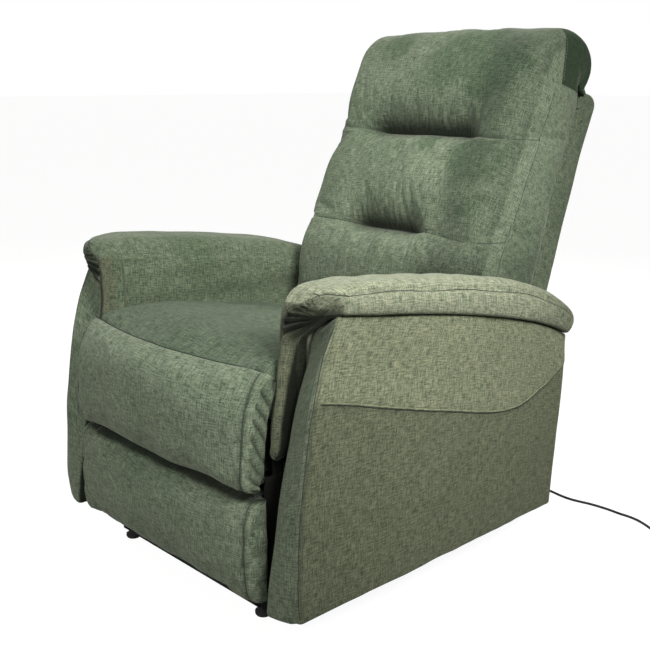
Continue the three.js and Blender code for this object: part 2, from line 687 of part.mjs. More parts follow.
function footrestBoard() {
  const board = box([-262, 262], [-489.5, -479], [76, 262]);
  const brackets = SIDES.map(([, side]) => {
    const plate = extrudeSide(outline([
      [-481, 140], [-481, 200], [-460, 184, 8], [-450, 170, 10], [-460, 156, 8],
    ]), lane(side, 'footBracket'));
    return join(plate, crossRod([side * 252, side * 262], FOOT_PIVOT, 5, 12));
  });
  return join(board, ...brackets);
}

function footrestPad() {
  const shape = outline([
    [-490, 67], [-514, 67, 20], [-525, 90, 20], [-526, 170, 40], [-525, 248, 20], [-514, 269, 20],
    [-490, 269],
  ]);
  return extrudeSide(shape, [-PANEL_HALF, PANEL_HALF], { curveSegments: 3, soft: 3 });
}

place('footrest_drive_tube', crossRod([-251, 251], CRANK_PIVOT, 10, 20), MATERIAL.steel);
for (const [label, side] of SIDES) {
  place(`footrest_crank_${label}`, crank(side), MATERIAL.steel);
  place(`footrest_carrier_${label}`, carrier(side), MATERIAL.steel);
}
place('footrest_board', footrestBoard(), MATERIAL.wood);
place('footrest_pad', footrestPad(), MATERIAL.fabric);

// ---------------------------------------------------------------- handset, on the right side's wing

const HANDSET = { y: -200, halfWidth: 26, bottom: 325, top: 465, inner: -388.6, outer: -405.6 };
const HOLDER = { wall: 2, inner: -ARM_OUTER - GAP, outer: -ARM_OUTER - GAP - 24, bottom: 308, top: 395 };
const SWITCHES = [['upper', 444], ['lower', 413]];
const SWITCH_HALF = { width: 9, height: 13 };

function handsetHolder() {
  const { wall, inner, outer, bottom, top } = HOLDER;
  const half = HANDSET.halfWidth + 5;
  const shell = box([outer, inner], [HANDSET.y - half, HANDSET.y + half], [bottom, top]);
  const well = box([outer + wall, inner - wall],
    [HANDSET.y - half + wall, HANDSET.y + half - wall], [bottom + wall, top + 5]);
  return cut(shell, well);
}

function handsetBody() {
  const { y, halfWidth, bottom, top, inner, outer } = HANDSET;
  const shape = outline([
    [y - halfWidth, bottom, 10], [y - halfWidth, top, 14],
    [y + halfWidth, top, 14], [y + halfWidth, bottom, 10],
  ]);
  const body = extrudeSide(shape, [outer, inner], { curveSegments: 3, soft: 2 });
  const [reach, rise] = [SWITCH_HALF.width + 1, SWITCH_HALF.height + 1];
  const wells = SWITCHES.map(([, z]) => box(
    [outer - 1, outer + 4], [y - reach, y + reach], [z - rise, z + rise]));
  return cut(body, ...wells);
}

function rockerSwitch(z) {
  const { y, outer } = HANDSET;
  return box([outer - 2, outer + 2], [y - SWITCH_HALF.width, y + SWITCH_HALF.width],
    [z - SWITCH_HALF.height, z + SWITCH_HALF.height]);
}

place('handset_holder', handsetHolder(), MATERIAL.plastic);
place('handset', handsetBody(), MATERIAL.plastic);
for (const [label, z] of SWITCHES) place(`handset_rocker_${label}`, rockerSwitch(z), MATERIAL.rubber);

export default chair;
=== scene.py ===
"""Lift recliner chair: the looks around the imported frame.

X is to the sitter's left, the front faces -Y and Z is up. Side views are drawn as [y, z] in
millimetres and turned into metres when a mesh is built. An upholstered piece is a stack of closed
rings: each ring runs round one section, from an anchor line up one side, across the show face and
down the other side, so every piece has a real thickness.
"""

import json
import math

import bmesh
import bpy
import numpy as np
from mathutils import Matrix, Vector
from mathutils.bvhtree import BVHTree


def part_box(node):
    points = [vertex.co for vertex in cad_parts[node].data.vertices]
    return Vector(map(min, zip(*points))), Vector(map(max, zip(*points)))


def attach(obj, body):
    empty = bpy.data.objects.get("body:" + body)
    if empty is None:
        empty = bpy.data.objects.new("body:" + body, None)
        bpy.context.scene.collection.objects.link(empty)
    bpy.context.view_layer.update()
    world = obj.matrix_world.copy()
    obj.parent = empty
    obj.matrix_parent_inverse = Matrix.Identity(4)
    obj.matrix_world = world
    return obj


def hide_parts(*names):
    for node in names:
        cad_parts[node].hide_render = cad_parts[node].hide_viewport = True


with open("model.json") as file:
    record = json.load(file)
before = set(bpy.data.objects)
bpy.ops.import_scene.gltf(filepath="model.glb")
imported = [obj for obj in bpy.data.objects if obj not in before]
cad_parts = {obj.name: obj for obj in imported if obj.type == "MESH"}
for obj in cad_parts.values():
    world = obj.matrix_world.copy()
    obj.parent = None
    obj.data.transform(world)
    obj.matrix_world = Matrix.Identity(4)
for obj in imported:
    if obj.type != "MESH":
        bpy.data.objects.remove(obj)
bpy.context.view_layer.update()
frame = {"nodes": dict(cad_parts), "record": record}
MM = 0.001
SIDES = ((1, "left"), (-1, "right"))
CAMERA_PLACE = (1.496, -1.490, 0.965)
CAMERA_DEGREES = (76.01, 0, 46.70)
LENS = 54.22
FLOOR_HALF = 60


# ---------------------------------------------------------------- camera, floor and light

def make_camera():
    camera = bpy.data.objects.new("camera", bpy.data.cameras.new("camera"))
    bpy.context.scene.collection.objects.link(camera)
    camera.location = CAMERA_PLACE
    camera.rotation_euler = [math.radians(angle) for angle in CAMERA_DEGREES]
    camera.data.lens = LENS
    camera.data.sensor_width = 36
    camera.data.clip_start = 0.05
    bpy.context.scene.camera = camera


def soft_box(name, place, aim, size, watts, spread=180):
    data = bpy.data.lights.new(name, "AREA")
    data.spread = math.radians(spread)
    data.shape = "RECTANGLE"
    data.size, data.size_y = size
    data.energy = watts
    lamp = bpy.data.objects.new(name, data)
    bpy.context.scene.collection.objects.link(lamp)
    lamp.location = place
    lamp.rotation_euler = (Vector(aim) - Vector(place)).to_track_quat("-Z", "Y").to_euler()


def make_studio():
    scene = bpy.context.scene
    scene.view_settings.view_transform = "Standard"
    scene.view_settings.look = "None"
    world = bpy.data.worlds.new("studio")
    scene.world = world
    world.use_nodes = True
    nodes, links = world.node_tree.nodes, world.node_tree.links
    background = nodes["Background"]
    background.inputs["Color"].default_value = (1.0, 0.99, 0.96, 1)
    background.inputs["Strength"].default_value = 0.20
    backdrop = nodes.new("ShaderNodeBackground")
    backdrop.inputs["Color"].default_value = (1, 1, 1, 1)
    path = nodes.new("ShaderNodeLightPath")
    mix = nodes.new("ShaderNodeMixShader")
    links.new(path.outputs["Is Camera Ray"], mix.inputs[0])
    links.new(background.outputs[0], mix.inputs[1])
    links.new(backdrop.outputs[0], mix.inputs[2])
    links.new(mix.outputs[0], nodes["World Output"].inputs[0])
    soft_box("key_softbox", (1.45, -0.42, 1.64), (0.20, -0.08, 0.72), (1.0, 1.0), 11.5, spread=70)
    soft_box("top_softbox", (-0.3, 0.2, 3.1), (0, 0, 0.4), (2.4, 2.4), 24)
    soft_box("front_softbox", (0.7, -2.9, 1.7), (0, 0, 0.45), (1.8, 1.4), 60)
    soft_box("rear_softbox", (-1.9, 2.3, 1.7), (0, 0, 0.5), (1.6, 1.6), 18)
    soft_box("side_softbox", (-2.9, -0.7, 1.3), (0, 0, 0.5), (1.8, 1.6), 15)
    floor_mesh = bpy.data.meshes.new("floor")
    corners = [(x * FLOOR_HALF, y * FLOOR_HALF, 0) for x, y in ((-1, -1), (1, -1), (1, 1), (-1, 1))]
    floor_mesh.from_pydata(corners, [], [(0, 1, 2, 3)])
    floor = bpy.data.objects.new("floor", floor_mesh)
    scene.collection.objects.link(floor)
    floor.location.z = -0.0005
    floor_mesh.materials.append(plain_floor())


def plain_floor():
    material = bpy.data.materials.new("floor")
    material.use_nodes = True
    nodes, links = material.node_tree.nodes, material.node_tree.links
    shader = nodes["Principled BSDF"]
    shader.inputs["Base Color"].default_value = (0.16, 0.16, 0.155, 1)
    shader.inputs["Roughness"].default_value = 0.9
    shader.inputs["Specular IOR Level"].default_value = 0.1
    shader.inputs["Emission Color"].default_value = (1, 1, 1, 1)
    path = nodes.new("ShaderNodeLightPath")
    glow = nodes.new("ShaderNodeMath")
    glow.operation = "MULTIPLY"
    glow.inputs[1].default_value = 0.93
    links.new(path.outputs["Is Camera Ray"], glow.inputs[0])
    links.new(glow.outputs[0], shader.inputs["Emission Strength"])
    return material


# ---------------------------------------------------------------- node helpers

class Shade:
    """A Principled material and short ways to add nodes to it."""

    def __init__(self, name, roughness, specular=0.3, metallic=0.0):
        self.material = bpy.data.materials.new(name)
        self.material.use_nodes = True
        self.nodes = self.material.node_tree.nodes
        self.links = self.material.node_tree.links
        self.shader = self.nodes["Principled BSDF"]
        self.shader.inputs["Roughness"].default_value = roughness
        self.shader.inputs["Specular IOR Level"].default_value = specular
        self.shader.inputs["Metallic"].default_value = metallic

    def add(self, kind, **values):
        node = self.nodes.new("ShaderNode" + kind)
        for key, value in values.items():
            setattr(node, key, value)
        return node

    def join(self, out, into):
        self.links.new(out, into)

    def scaled(self, source, scale):
        """The source coordinates stretched by three factors."""
        node = self.add("Mapping", vector_type="POINT")
        node.inputs["Scale"].default_value = scale
        self.join(source, node.inputs["Vector"])
        return node.outputs[0]

    def noise(self, vector, scale=1.0, detail=2.0, roughness=0.5, distortion=0.0):
        node = self.add("TexNoise")
        node.inputs["Scale"].default_value = scale
        node.inputs["Detail"].default_value = detail
        node.inputs["Roughness"].default_value = roughness
        node.inputs["Distortion"].default_value = distortion
        self.join(vector, node.inputs["Vector"])
        return node.outputs[0]

    def math(self, operation, a, b=0.0, clamp=False):
        node = self.add("Math", operation=operation, use_clamp=clamp)
        for socket, value in zip(node.inputs, (a, b)):
            if isinstance(value, (int, float)):
                socket.default_value = value
            else:
                self.join(value, socket)
        return node.outputs[0]

    def plus(self, a, b):
        return self.math("ADD", a, b)

    def minus(self, a, b):
        return self.math("SUBTRACT", a, b)

    def times(self, a, b, clamp=False):
        return self.math("MULTIPLY", a, b, clamp)

    def place(self):
        """Object coordinates, which are the frame's, in metres."""
        return self.add("TexCoord").outputs["Object"]

    def axes(self, vector):
        node = self.add("SeparateXYZ")
        self.join(vector, node.inputs[0])
        return tuple(node.outputs)

    def ramp(self, factor, stops):
        node = self.add("ValToRGB")
        elements = node.color_ramp.elements
        while len(elements) < len(stops):
            elements.new(0.5)
        for element, (place, colour) in zip(elements, stops):
            element.position = place
            element.color = (*colour, 1)
        self.join(factor, node.inputs[0])
        return node.outputs[0]

    def mix(self, kind, factor, a, b):
        node = self.add("Mix", data_type="RGBA", blend_type=kind)
        for socket, value in zip((node.inputs[0], node.inputs[6], node.inputs[7]), (factor, a, b)):
            if isinstance(value, (int, float)):
                socket.default_value = value
            elif isinstance(value, tuple):
                socket.default_value = (*value, 1)
            else:
                self.join(value, socket)
        return node.outputs[2]

    def bump(self, height, distance, strength=1.0):
        node = self.add("Bump")
        node.inputs["Strength"].default_value = strength
        node.inputs["Distance"].default_value = distance
        self.join(height, node.inputs["Height"])
        self.join(node.outputs[0], self.shader.inputs["Normal"])

    def colour(self, source):
        self.join(source, self.shader.inputs["Base Color"])


# ---------------------------------------------------------------- materials

def chenille(name, tone, nap=0.3, brushed=(), side_patch=False, shift=0.0, sheen=0.16):
    """Heathered cross-woven chenille. Its grain follows the mesh's UVs, which are in metres.

    nap is how strongly the pile darkens where it lies the other way. Each brushed place is
    (x, y, z, radius), a spot a hand has stroked. A mesh's painted-shade attribute darkens its folds and gaps."""
    shade = Shade(name, roughness=0.86, specular=0.2)
    shade.shader.inputs["Sheen Weight"].default_value = sheen
    shade.shader.inputs["Sheen Roughness"].default_value = 0.42
    shade.shader.inputs["Sheen Tint"].default_value = (0.86, 0.92, 0.74, 1)
    uv = shade.add("UVMap", uv_map="cloth").outputs[0]
    place = shade.place()
    slubs = [shade.noise(shade.scaled(uv, scale), detail=3, roughness=0.6) for scale in SLUB_SCALES]
    yarns = [shade.noise(shade.scaled(uv, scale), detail=1) for scale in YARN_SCALES]
    flecks = shade.noise(uv, scale=360, detail=3, roughness=0.7)
    clouds = shade.noise(uv, scale=58, detail=4, roughness=0.6)
    slub, yarn = shade.plus(*slubs), shade.plus(*yarns)
    heather = 0.0
    for part, share in ((slub, 0.29), (yarn, 0.07), (flecks, 0.20), (clouds, 0.08)):
        heather = shade.plus(shade.times(part, share), heather)
    light = tuple(c * gain for c, gain in zip(tone, LIGHT_YARN))
    dark = tuple(c * gain for c, gain in zip(tone, DARK_YARN))
    base = shade.ramp(heather, [(0.43, dark), (0.50, tone), (0.57, light)])
    moved = shade.add("VectorMath", operation="ADD")
    shade.join(place, moved.inputs[0])
    moved.inputs[1].default_value = (shift, 0.3 * shift, 0.7 * shift)
    broad = shade.noise(moved.outputs[0], scale=5.2, detail=4.0, roughness=0.6, distortion=0.7)
    crushed = shade.times(shade.ramp(broad, [(0.48, (0, 0, 0)), (0.66, (1, 1, 1))]), nap)
    for *centre, radius in brushed:
        crushed = shade.math("MAXIMUM", crushed, stroked(shade, place, centre, radius, broad, clouds))
    colour = shade.mix("MIX", crushed, base, shade.mix("MULTIPLY", 1.0, base, NAP_SHADE))
    # Painted shade: a per-point attribute of the mesh darkens the colour in folds, gaps and under overhangs.
    painted_shade = shade.times(shade.add("Attribute", attribute_name="painted_shade").outputs["Fac"], 1.0, clamp=True)
    colour = shade.mix("MIX", painted_shade, colour, shade.mix("MULTIPLY", 1.0, colour, PAINTED_SHADE_GAIN))
    if side_patch:
        patch = shade.mix("MULTIPLY", 1.0, base, PATCH_SHADE)
        colour = shade.mix("MIX", head_patch(shade, place), colour, patch)
    shade.colour(colour)
    shade.bump(shade.plus(shade.times(slub, 0.8), yarn), 0.0007, 0.55)
    return shade.material


def stroked(shade, place, centre, radius, broad, clouds):
    """How far a hand has turned the pile, up to 0.85 inside a ball, with a ragged edge."""
    reach = shade.add("VectorMath", operation="DISTANCE")
    shade.join(place, reach.inputs[0])
    reach.inputs[1].default_value = centre
    inside = shade.minus(1.0, shade.math("DIVIDE", reach.outputs["Value"], radius))
    ragged = shade.plus(inside, shade.times(shade.minus(broad, 0.5), 3.2))
    ragged = shade.plus(ragged, shade.times(shade.minus(clouds, 0.5), 2.0))
    turned = shade.times(shade.times(ragged, 1.3, clamp=True), 0.85)
    return shade.times(turned, shade.times(inside, 2.2, clamp=True))


def head_patch(shade, place):
    """1 on the darker panels let into the two sides of the head cushion."""
    x, y, z = shade.axes(place)
    corner_y, corner_z = PATCH_CORNER
    on_side = shade.math("GREATER_THAN", shade.math("ABSOLUTE", x), PATCH_SIDE)
    front = shade.plus(corner_y, shade.times(shade.minus(z, corner_z), PATCH_LEAN))
    low = shade.minus(corner_z, shade.times(shade.minus(y, corner_y), PATCH_FALL))
    both = shade.times(shade.math("GREATER_THAN", y, front), shade.math("GREATER_THAN", z, low))
    return shade.times(on_side, both)


def powder_steel(name, colour, roughness, metallic):
    shade = Shade(name, roughness, specular=0.4, metallic=metallic)
    place = shade.place()
    grain = shade.noise(place, scale=900, detail=3)
    wear = shade.noise(place, scale=38, detail=4, roughness=0.65)
    tone = tuple(min(1.0, c * 1.5) for c in colour)
    shade.colour(shade.ramp(wear, [(0.35, colour), (0.75, tone)]))
    shade.join(shade.plus(shade.times(wear, 0.22), roughness - 0.1), shade.shader.inputs["Roughness"])
    shade.bump(grain, 0.0002, 0.5)
    return shade.material


def timber(name):
    shade = Shade(name, roughness=0.62, specular=0.3)
    place = shade.place()
    rings = shade.noise(shade.scaled(place, (3, 60, 60)), scale=1.2, detail=5, distortion=1.2)
    pores = shade.noise(shade.scaled(place, (20, 700, 700)), detail=2)
    tone = shade.ramp(rings, [(0.3, (0.30, 0.22, 0.13)), (0.7, (0.45, 0.35, 0.22))])
    flecked = shade.ramp(pores, [(0.3, (0.5, 0.4, 0.3)), (0.6, (1, 1, 1))])
    shade.colour(shade.mix("MULTIPLY", 0.4, tone, flecked))
    shade.bump(pores, 0.0003, 0.5)
    return shade.material


def moulded(name, colour, roughness, grain_scale=1400):
    shade = Shade(name, roughness, specular=0.45)
    place = shade.place()
    grain = shade.noise(place, scale=grain_scale, detail=2)
    smudge = shade.noise(place, scale=22, detail=4)
    tone = tuple(c * 1.7 + 0.004 for c in colour)
    shade.colour(shade.ramp(smudge, [(0.3, colour), (0.8, tone)]))
    shade.join(shade.plus(shade.times(smudge, 0.25), roughness - 0.12), shade.shader.inputs["Roughness"])
    shade.bump(grain, 0.00015, 0.6)
    return shade.material


def web(name, colour):
    """Woven strapping or lining: two crossed sets of ribs."""
    shade = Shade(name, roughness=0.9, specular=0.15)
    place = shade.place()
    x_ribs, y_ribs, z_ribs = [shade.math("SINE", shade.times(axis, 2 * math.pi / RIB_PITCH))
                              for axis in shade.axes(place)]
    height = shade.plus(shade.times(x_ribs, z_ribs), shade.times(y_ribs, 0.5))
    fuzz = shade.noise(place, scale=500, detail=3)
    shade.colour(shade.ramp(fuzz, [(0.3, tuple(0.6 * c for c in colour)), (0.7, colour)]))
    shade.bump(height, 0.0004, 0.6)
    return shade.material


# The two thread directions of the weave, in waves per metre along the UVs.
SLUB_SCALES = ((400, 52, 1), (52, 400, 1))
YARN_SCALES = ((1300, 170, 1), (170, 1300, 1))
RIB_PITCH = 0.0024
# Gains on a cloth's tone.
LIGHT_YARN = (1.72, 1.62, 1.62)
DARK_YARN = (0.36, 0.44, 0.40)
NAP_SHADE = (0.42, 0.54, 0.44)
# The gain for painted shade in folds, gaps and under overhangs.
PAINTED_SHADE_GAIN = (0.09, 0.105, 0.085)
PATCH_SHADE = (0.11, 0.19, 0.12)
# The head patch's lower front corner as (y, z), how its front edge leans back with height, how its
# lower edge falls towards the rear, and the x it starts at.
PATCH_CORNER = (0.361, 0.959)
PATCH_LEAN = 0.12
PATCH_FALL = 0.24
PATCH_SIDE = 0.248

FABRIC_SIDE = chenille("chenille_side", (0.143, 0.157, 0.097), nap=0.16, shift=0.2)
# The left arm takes a lighter copy of the cloth and the right arm a darker copy, as painted shade.
FABRIC_ARM = chenille("chenille_arm_left", (0.172, 0.188, 0.126), nap=0.12, shift=0.9)
FABRIC_ARM_SHADED = chenille("chenille_arm_right_shaded", (0.082, 0.104, 0.065), nap=0.35, shift=1.6)
# A darker copy of the cloth for the nose's front, as painted shade.
FABRIC_NOSE_SHADED = chenille("chenille_nose_shaded", (0.078, 0.086, 0.054), nap=0.3, shift=1.3, sheen=0.1)
FABRIC_FRONT = chenille("chenille_front", (0.112, 0.138, 0.092), nap=0.30, shift=1.1)
FABRIC_SEAT = chenille("chenille_seat", (0.072, 0.094, 0.061), nap=0.45, shift=0.7, sheen=0.05,
                       brushed=[(-0.16, -0.10, 0.46, 0.16), (0.12, -0.05, 0.45, 0.15)])
FABRIC_BACK = chenille("chenille_back", (0.118, 0.146, 0.096), nap=0.35, shift=0.55, side_patch=True,
                       brushed=[(0.05, 0.31, 1.05, 0.20), (0.17, 0.27, 1.00, 0.14), (-0.16, 0.32, 1.04, 0.10),
                                (0.19, 0.20, 0.79, 0.12), (0.21, 0.16, 0.70, 0.08), (0.04, 0.20, 0.84, 0.06)])
FABRIC_SLAB = chenille("chenille_slab", (0.086, 0.108, 0.068), nap=0.35, shift=2.0)
THREAD = moulded("thread", (0.060, 0.070, 0.050), 0.7)
SEAM = moulded("seam_shadow", (0.016, 0.020, 0.014), 0.8)
STEEL = powder_steel("black_steel", (0.016, 0.016, 0.017), 0.45, 0.35)
ZINC = powder_steel("zinc_steel", (0.42, 0.43, 0.44), 0.34, 0.9)
WOOD = timber("poplar_plywood")
PLASTIC = moulded("black_plastic", (0.012, 0.012, 0.013), 0.48)
RUBBER = moulded("black_rubber", (0.010, 0.010, 0.010), 0.75, grain_scale=700)
WEBBING = web("elastic_webbing", (0.045, 0.042, 0.038))
# Near black sheets of painted shade in the slots beside the seat.
SHADE_LINING = web("painted_shade_lining", (0.010, 0.010, 0.008))


# ---------------------------------------------------------------- curves and fields

def path_length(path):
    return np.concatenate([[0], np.cumsum(np.linalg.norm(np.diff(path, axis=0), axis=1))])


def read_off(stops, places, rows):
    """Rows of numbers known at some places, read off at the stops."""
    return np.stack([np.interp(stops, places, column) for column in rows.T], axis=1)


def smooth_line(rows, spacing):
    """Rows of numbers, the first two being [y, z], resampled on a smooth curve at a spacing in mm.

    The spacing is a number, or a function of the distance along the curve."""
    rows = np.array(rows, float)
    padded = np.vstack([2 * rows[0] - rows[1], rows, 2 * rows[-1] - rows[-2]])
    fine = []
    for i in range(len(rows) - 1):
        p0, p1, p2, p3 = padded[i:i + 4]
        for t in np.linspace(0, 1, 24, endpoint=False):
            fine.append(0.5 * (2 * p1 + (p2 - p0) * t + (2 * p0 - 5 * p1 + 4 * p2 - p3) * t * t
                               + (3 * p1 - p0 - 3 * p2 + p3) * t ** 3))
    fine.append(rows[-1])
    fine = np.array(fine)
    reach = path_length(fine[:, :2])
    stops = [0.0]
    while stops[-1] < reach[-1]:
        step = spacing(stops[-1]) if callable(spacing) else spacing
        stops.append(stops[-1] + step)
    stops = np.array(stops) * reach[-1] / stops[-1]
    return read_off(stops, reach, fine), stops


def smoothstep(value, low, high):
    t = np.clip((value - low) / (high - low), 0, 1)
    return t * t * (3 - 2 * t)


def bell(value, centre, width):
    return np.exp(-((value - centre) / width) ** 2)


def ripple(u, v, size, seed, waves=7):
    """Smooth irregular waves between about -1 and 1; size is their usual length in mm."""
    random = np.random.default_rng(seed)
    total = 0
    for _ in range(waves):
        turn = random.uniform(0, 2 * np.pi)
        pace = random.uniform(0.6, 1.7)
        phase = random.uniform(0, 2 * np.pi)
        total = total + np.sin((u * np.cos(turn) + v * np.sin(turn)) * 2 * np.pi * pace / size + phase)
    return total / math.sqrt(waves)


def creases(u, v, size, seed):
    """Like ripple, but mostly flat with narrow valleys, as pulled cloth has; from -1 to 0."""
    return -np.exp(-(ripple(u, v, size, seed) / 0.32) ** 2)


# ---------------------------------------------------------------- meshes

def add_object(name, mesh, material, body):
    piece = bpy.data.objects.new(name, mesh)
    bpy.context.scene.collection.objects.link(piece)
    for one in material if isinstance(material, list) else [material]:
        mesh.materials.append(one)
    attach(piece, body)
    return piece


def ring_mesh(name, points):
    """A closed mesh from rings of points in mm, with UVs in metres along and across the cloth."""
    count, around, _ = points.shape
    closed = np.concatenate([points, points[:, :1]], axis=1)
    u = path_length(closed[count // 2]) * MM
    steps = np.linalg.norm(np.diff(points, axis=0), axis=2).mean(axis=1)
    v = np.concatenate([[0], np.cumsum(steps)]) * MM
    faces, corners = [], []
    for i in range(count - 1):
        for j in range(around):
            k = (j + 1) % around
            faces.append((i * around + j, i * around + k, (i + 1) * around + k, (i + 1) * around + j))
            corners += [(u[j], v[i]), (u[j + 1], v[i]), (u[j + 1], v[i + 1]), (u[j], v[i + 1])]
    faces.append(tuple(reversed(range(around))))
    corners += [(p[0] * MM, p[2] * MM) for p in points[0][::-1]]
    last = (count - 1) * around
    faces.append(tuple(range(last, last + around)))
    corners += [(p[0] * MM, p[2] * MM) for p in points[-1]]
    mesh = bpy.data.meshes.new(name)
    mesh.from_pydata((points.reshape(-1, 3) * MM).tolist(), [], faces)
    layer = mesh.uv_layers.new(name="cloth")
    layer.data.foreach_set("uv", np.array(corners, np.float32).ravel())
    mesh.polygons.foreach_set("use_smooth", np.ones(len(mesh.polygons), bool))
    face_outwards(mesh)
    return mesh


def add_cover(name, points, painted_shade, material, body):
    """A piece made of rings in mm, with painted shade from 0 to 1 at each point, darkest in folds and gaps.
    tucked says how deep in a fold, or how flattened, the pile is.
    """
    mesh = ring_mesh(name, points)
    layer = mesh.attributes.new("painted_shade", "FLOAT", "POINT")
    layer.data.foreach_set("value", np.clip(painted_shade, 0, 1).astype(np.float32).ravel())
    return add_object(name, mesh, material, body)


def other_cloth(piece, belongs):
    """Gives the piece's second material to the faces whose middle, in mm, passes a test."""
    for polygon in piece.data.polygons:
        if belongs(*(polygon.center / MM)):
            polygon.material_index = 1


def face_outwards(mesh):
    shape = bmesh.new()
    shape.from_mesh(mesh)
    caps = [f for f in shape.faces if len(f.verts) > 4]
    bmesh.ops.triangulate(shape, faces=caps)
    bmesh.ops.recalc_face_normals(shape, faces=shape.faces)
    shape.to_mesh(mesh)
    shape.free()
    mesh.update()


CLOTH_STIFFNESS = {
    "quality": 5, "mass": 0.25, "tension_stiffness": 18, "compression_stiffness": 18,
    "shear_stiffness": 6, "bending_stiffness": 0.35,
}
CLOTH_FRAMES = 16
CLOTH_PRESSURE = 2.5


def settle(points, held, spare, cap, stride):
    """Rings of points in mm after their cover has been blown up as cloth for a few frames.

    Held points stay. spare is how much larger the cloth is cut than its space, which makes it
    wrinkle, and cap is about how far a point may move. The cloth is coarser than the rings by a
    stride, and its movement is spread back over them."""
    count, around, _ = points.shape
    rows = np.unique(np.append(np.arange(0, count, stride), count - 1))
    columns = np.arange(0, around, stride)
    mesh = ring_mesh("cloth_trial", points[np.ix_(rows, columns)])
    trial = bpy.data.objects.new("cloth_trial", mesh)
    bpy.context.scene.collection.objects.link(trial)
    group = trial.vertex_groups.new(name="held")
    still = np.nonzero(held[np.ix_(rows, columns)].ravel())[0]
    group.add(still.tolist(), 1.0, "REPLACE")
    cloth = trial.modifiers.new("cloth", "CLOTH")
    for key, value in CLOTH_STIFFNESS.items():
        setattr(cloth.settings, key, value)
    cloth.settings.use_pressure = True
    cloth.settings.uniform_pressure_force = CLOTH_PRESSURE
    cloth.settings.shrink_min = -spare
    cloth.settings.vertex_group_mass = "held"
    cloth.settings.effector_weights.gravity = 0
    cloth.collision_settings.use_collision = False
    cloth.point_cache.frame_start = 1
    cloth.point_cache.frame_end = CLOTH_FRAMES
    scene = bpy.context.scene
    for frame_number in range(1, CLOTH_FRAMES + 1):
        scene.frame_set(frame_number)
    after = trial.evaluated_get(bpy.context.evaluated_depsgraph_get()).data
    start, end = np.empty((2, len(mesh.vertices) * 3))
    mesh.vertices.foreach_get("co", start)
    after.vertices.foreach_get("co", end)
    move = ((end - start) / MM).reshape(len(rows), len(columns), 3)
    scene.frame_set(1)
    bpy.data.objects.remove(trial)
    bpy.data.meshes.remove(mesh)
    far = np.linalg.norm(move, axis=2, keepdims=True) + 1e-9
    move *= cap * np.tanh(far / cap) / far
    move = np.concatenate([move, move[:, :1]], axis=1)
    columns = np.append(columns, around)
    wide = np.array([read_off(np.arange(around), columns, line) for line in move])
    full = np.array([read_off(np.arange(count), rows, column) for column in wide.transpose(1, 0, 2)])
    return points + full.transpose(1, 0, 2)


def per_row(value, line):
    """A number, or a function of the line, as one number for each of its rows."""
    return np.broadcast_to(np.asarray(value(line) if callable(value) else value, float), (len(line),))


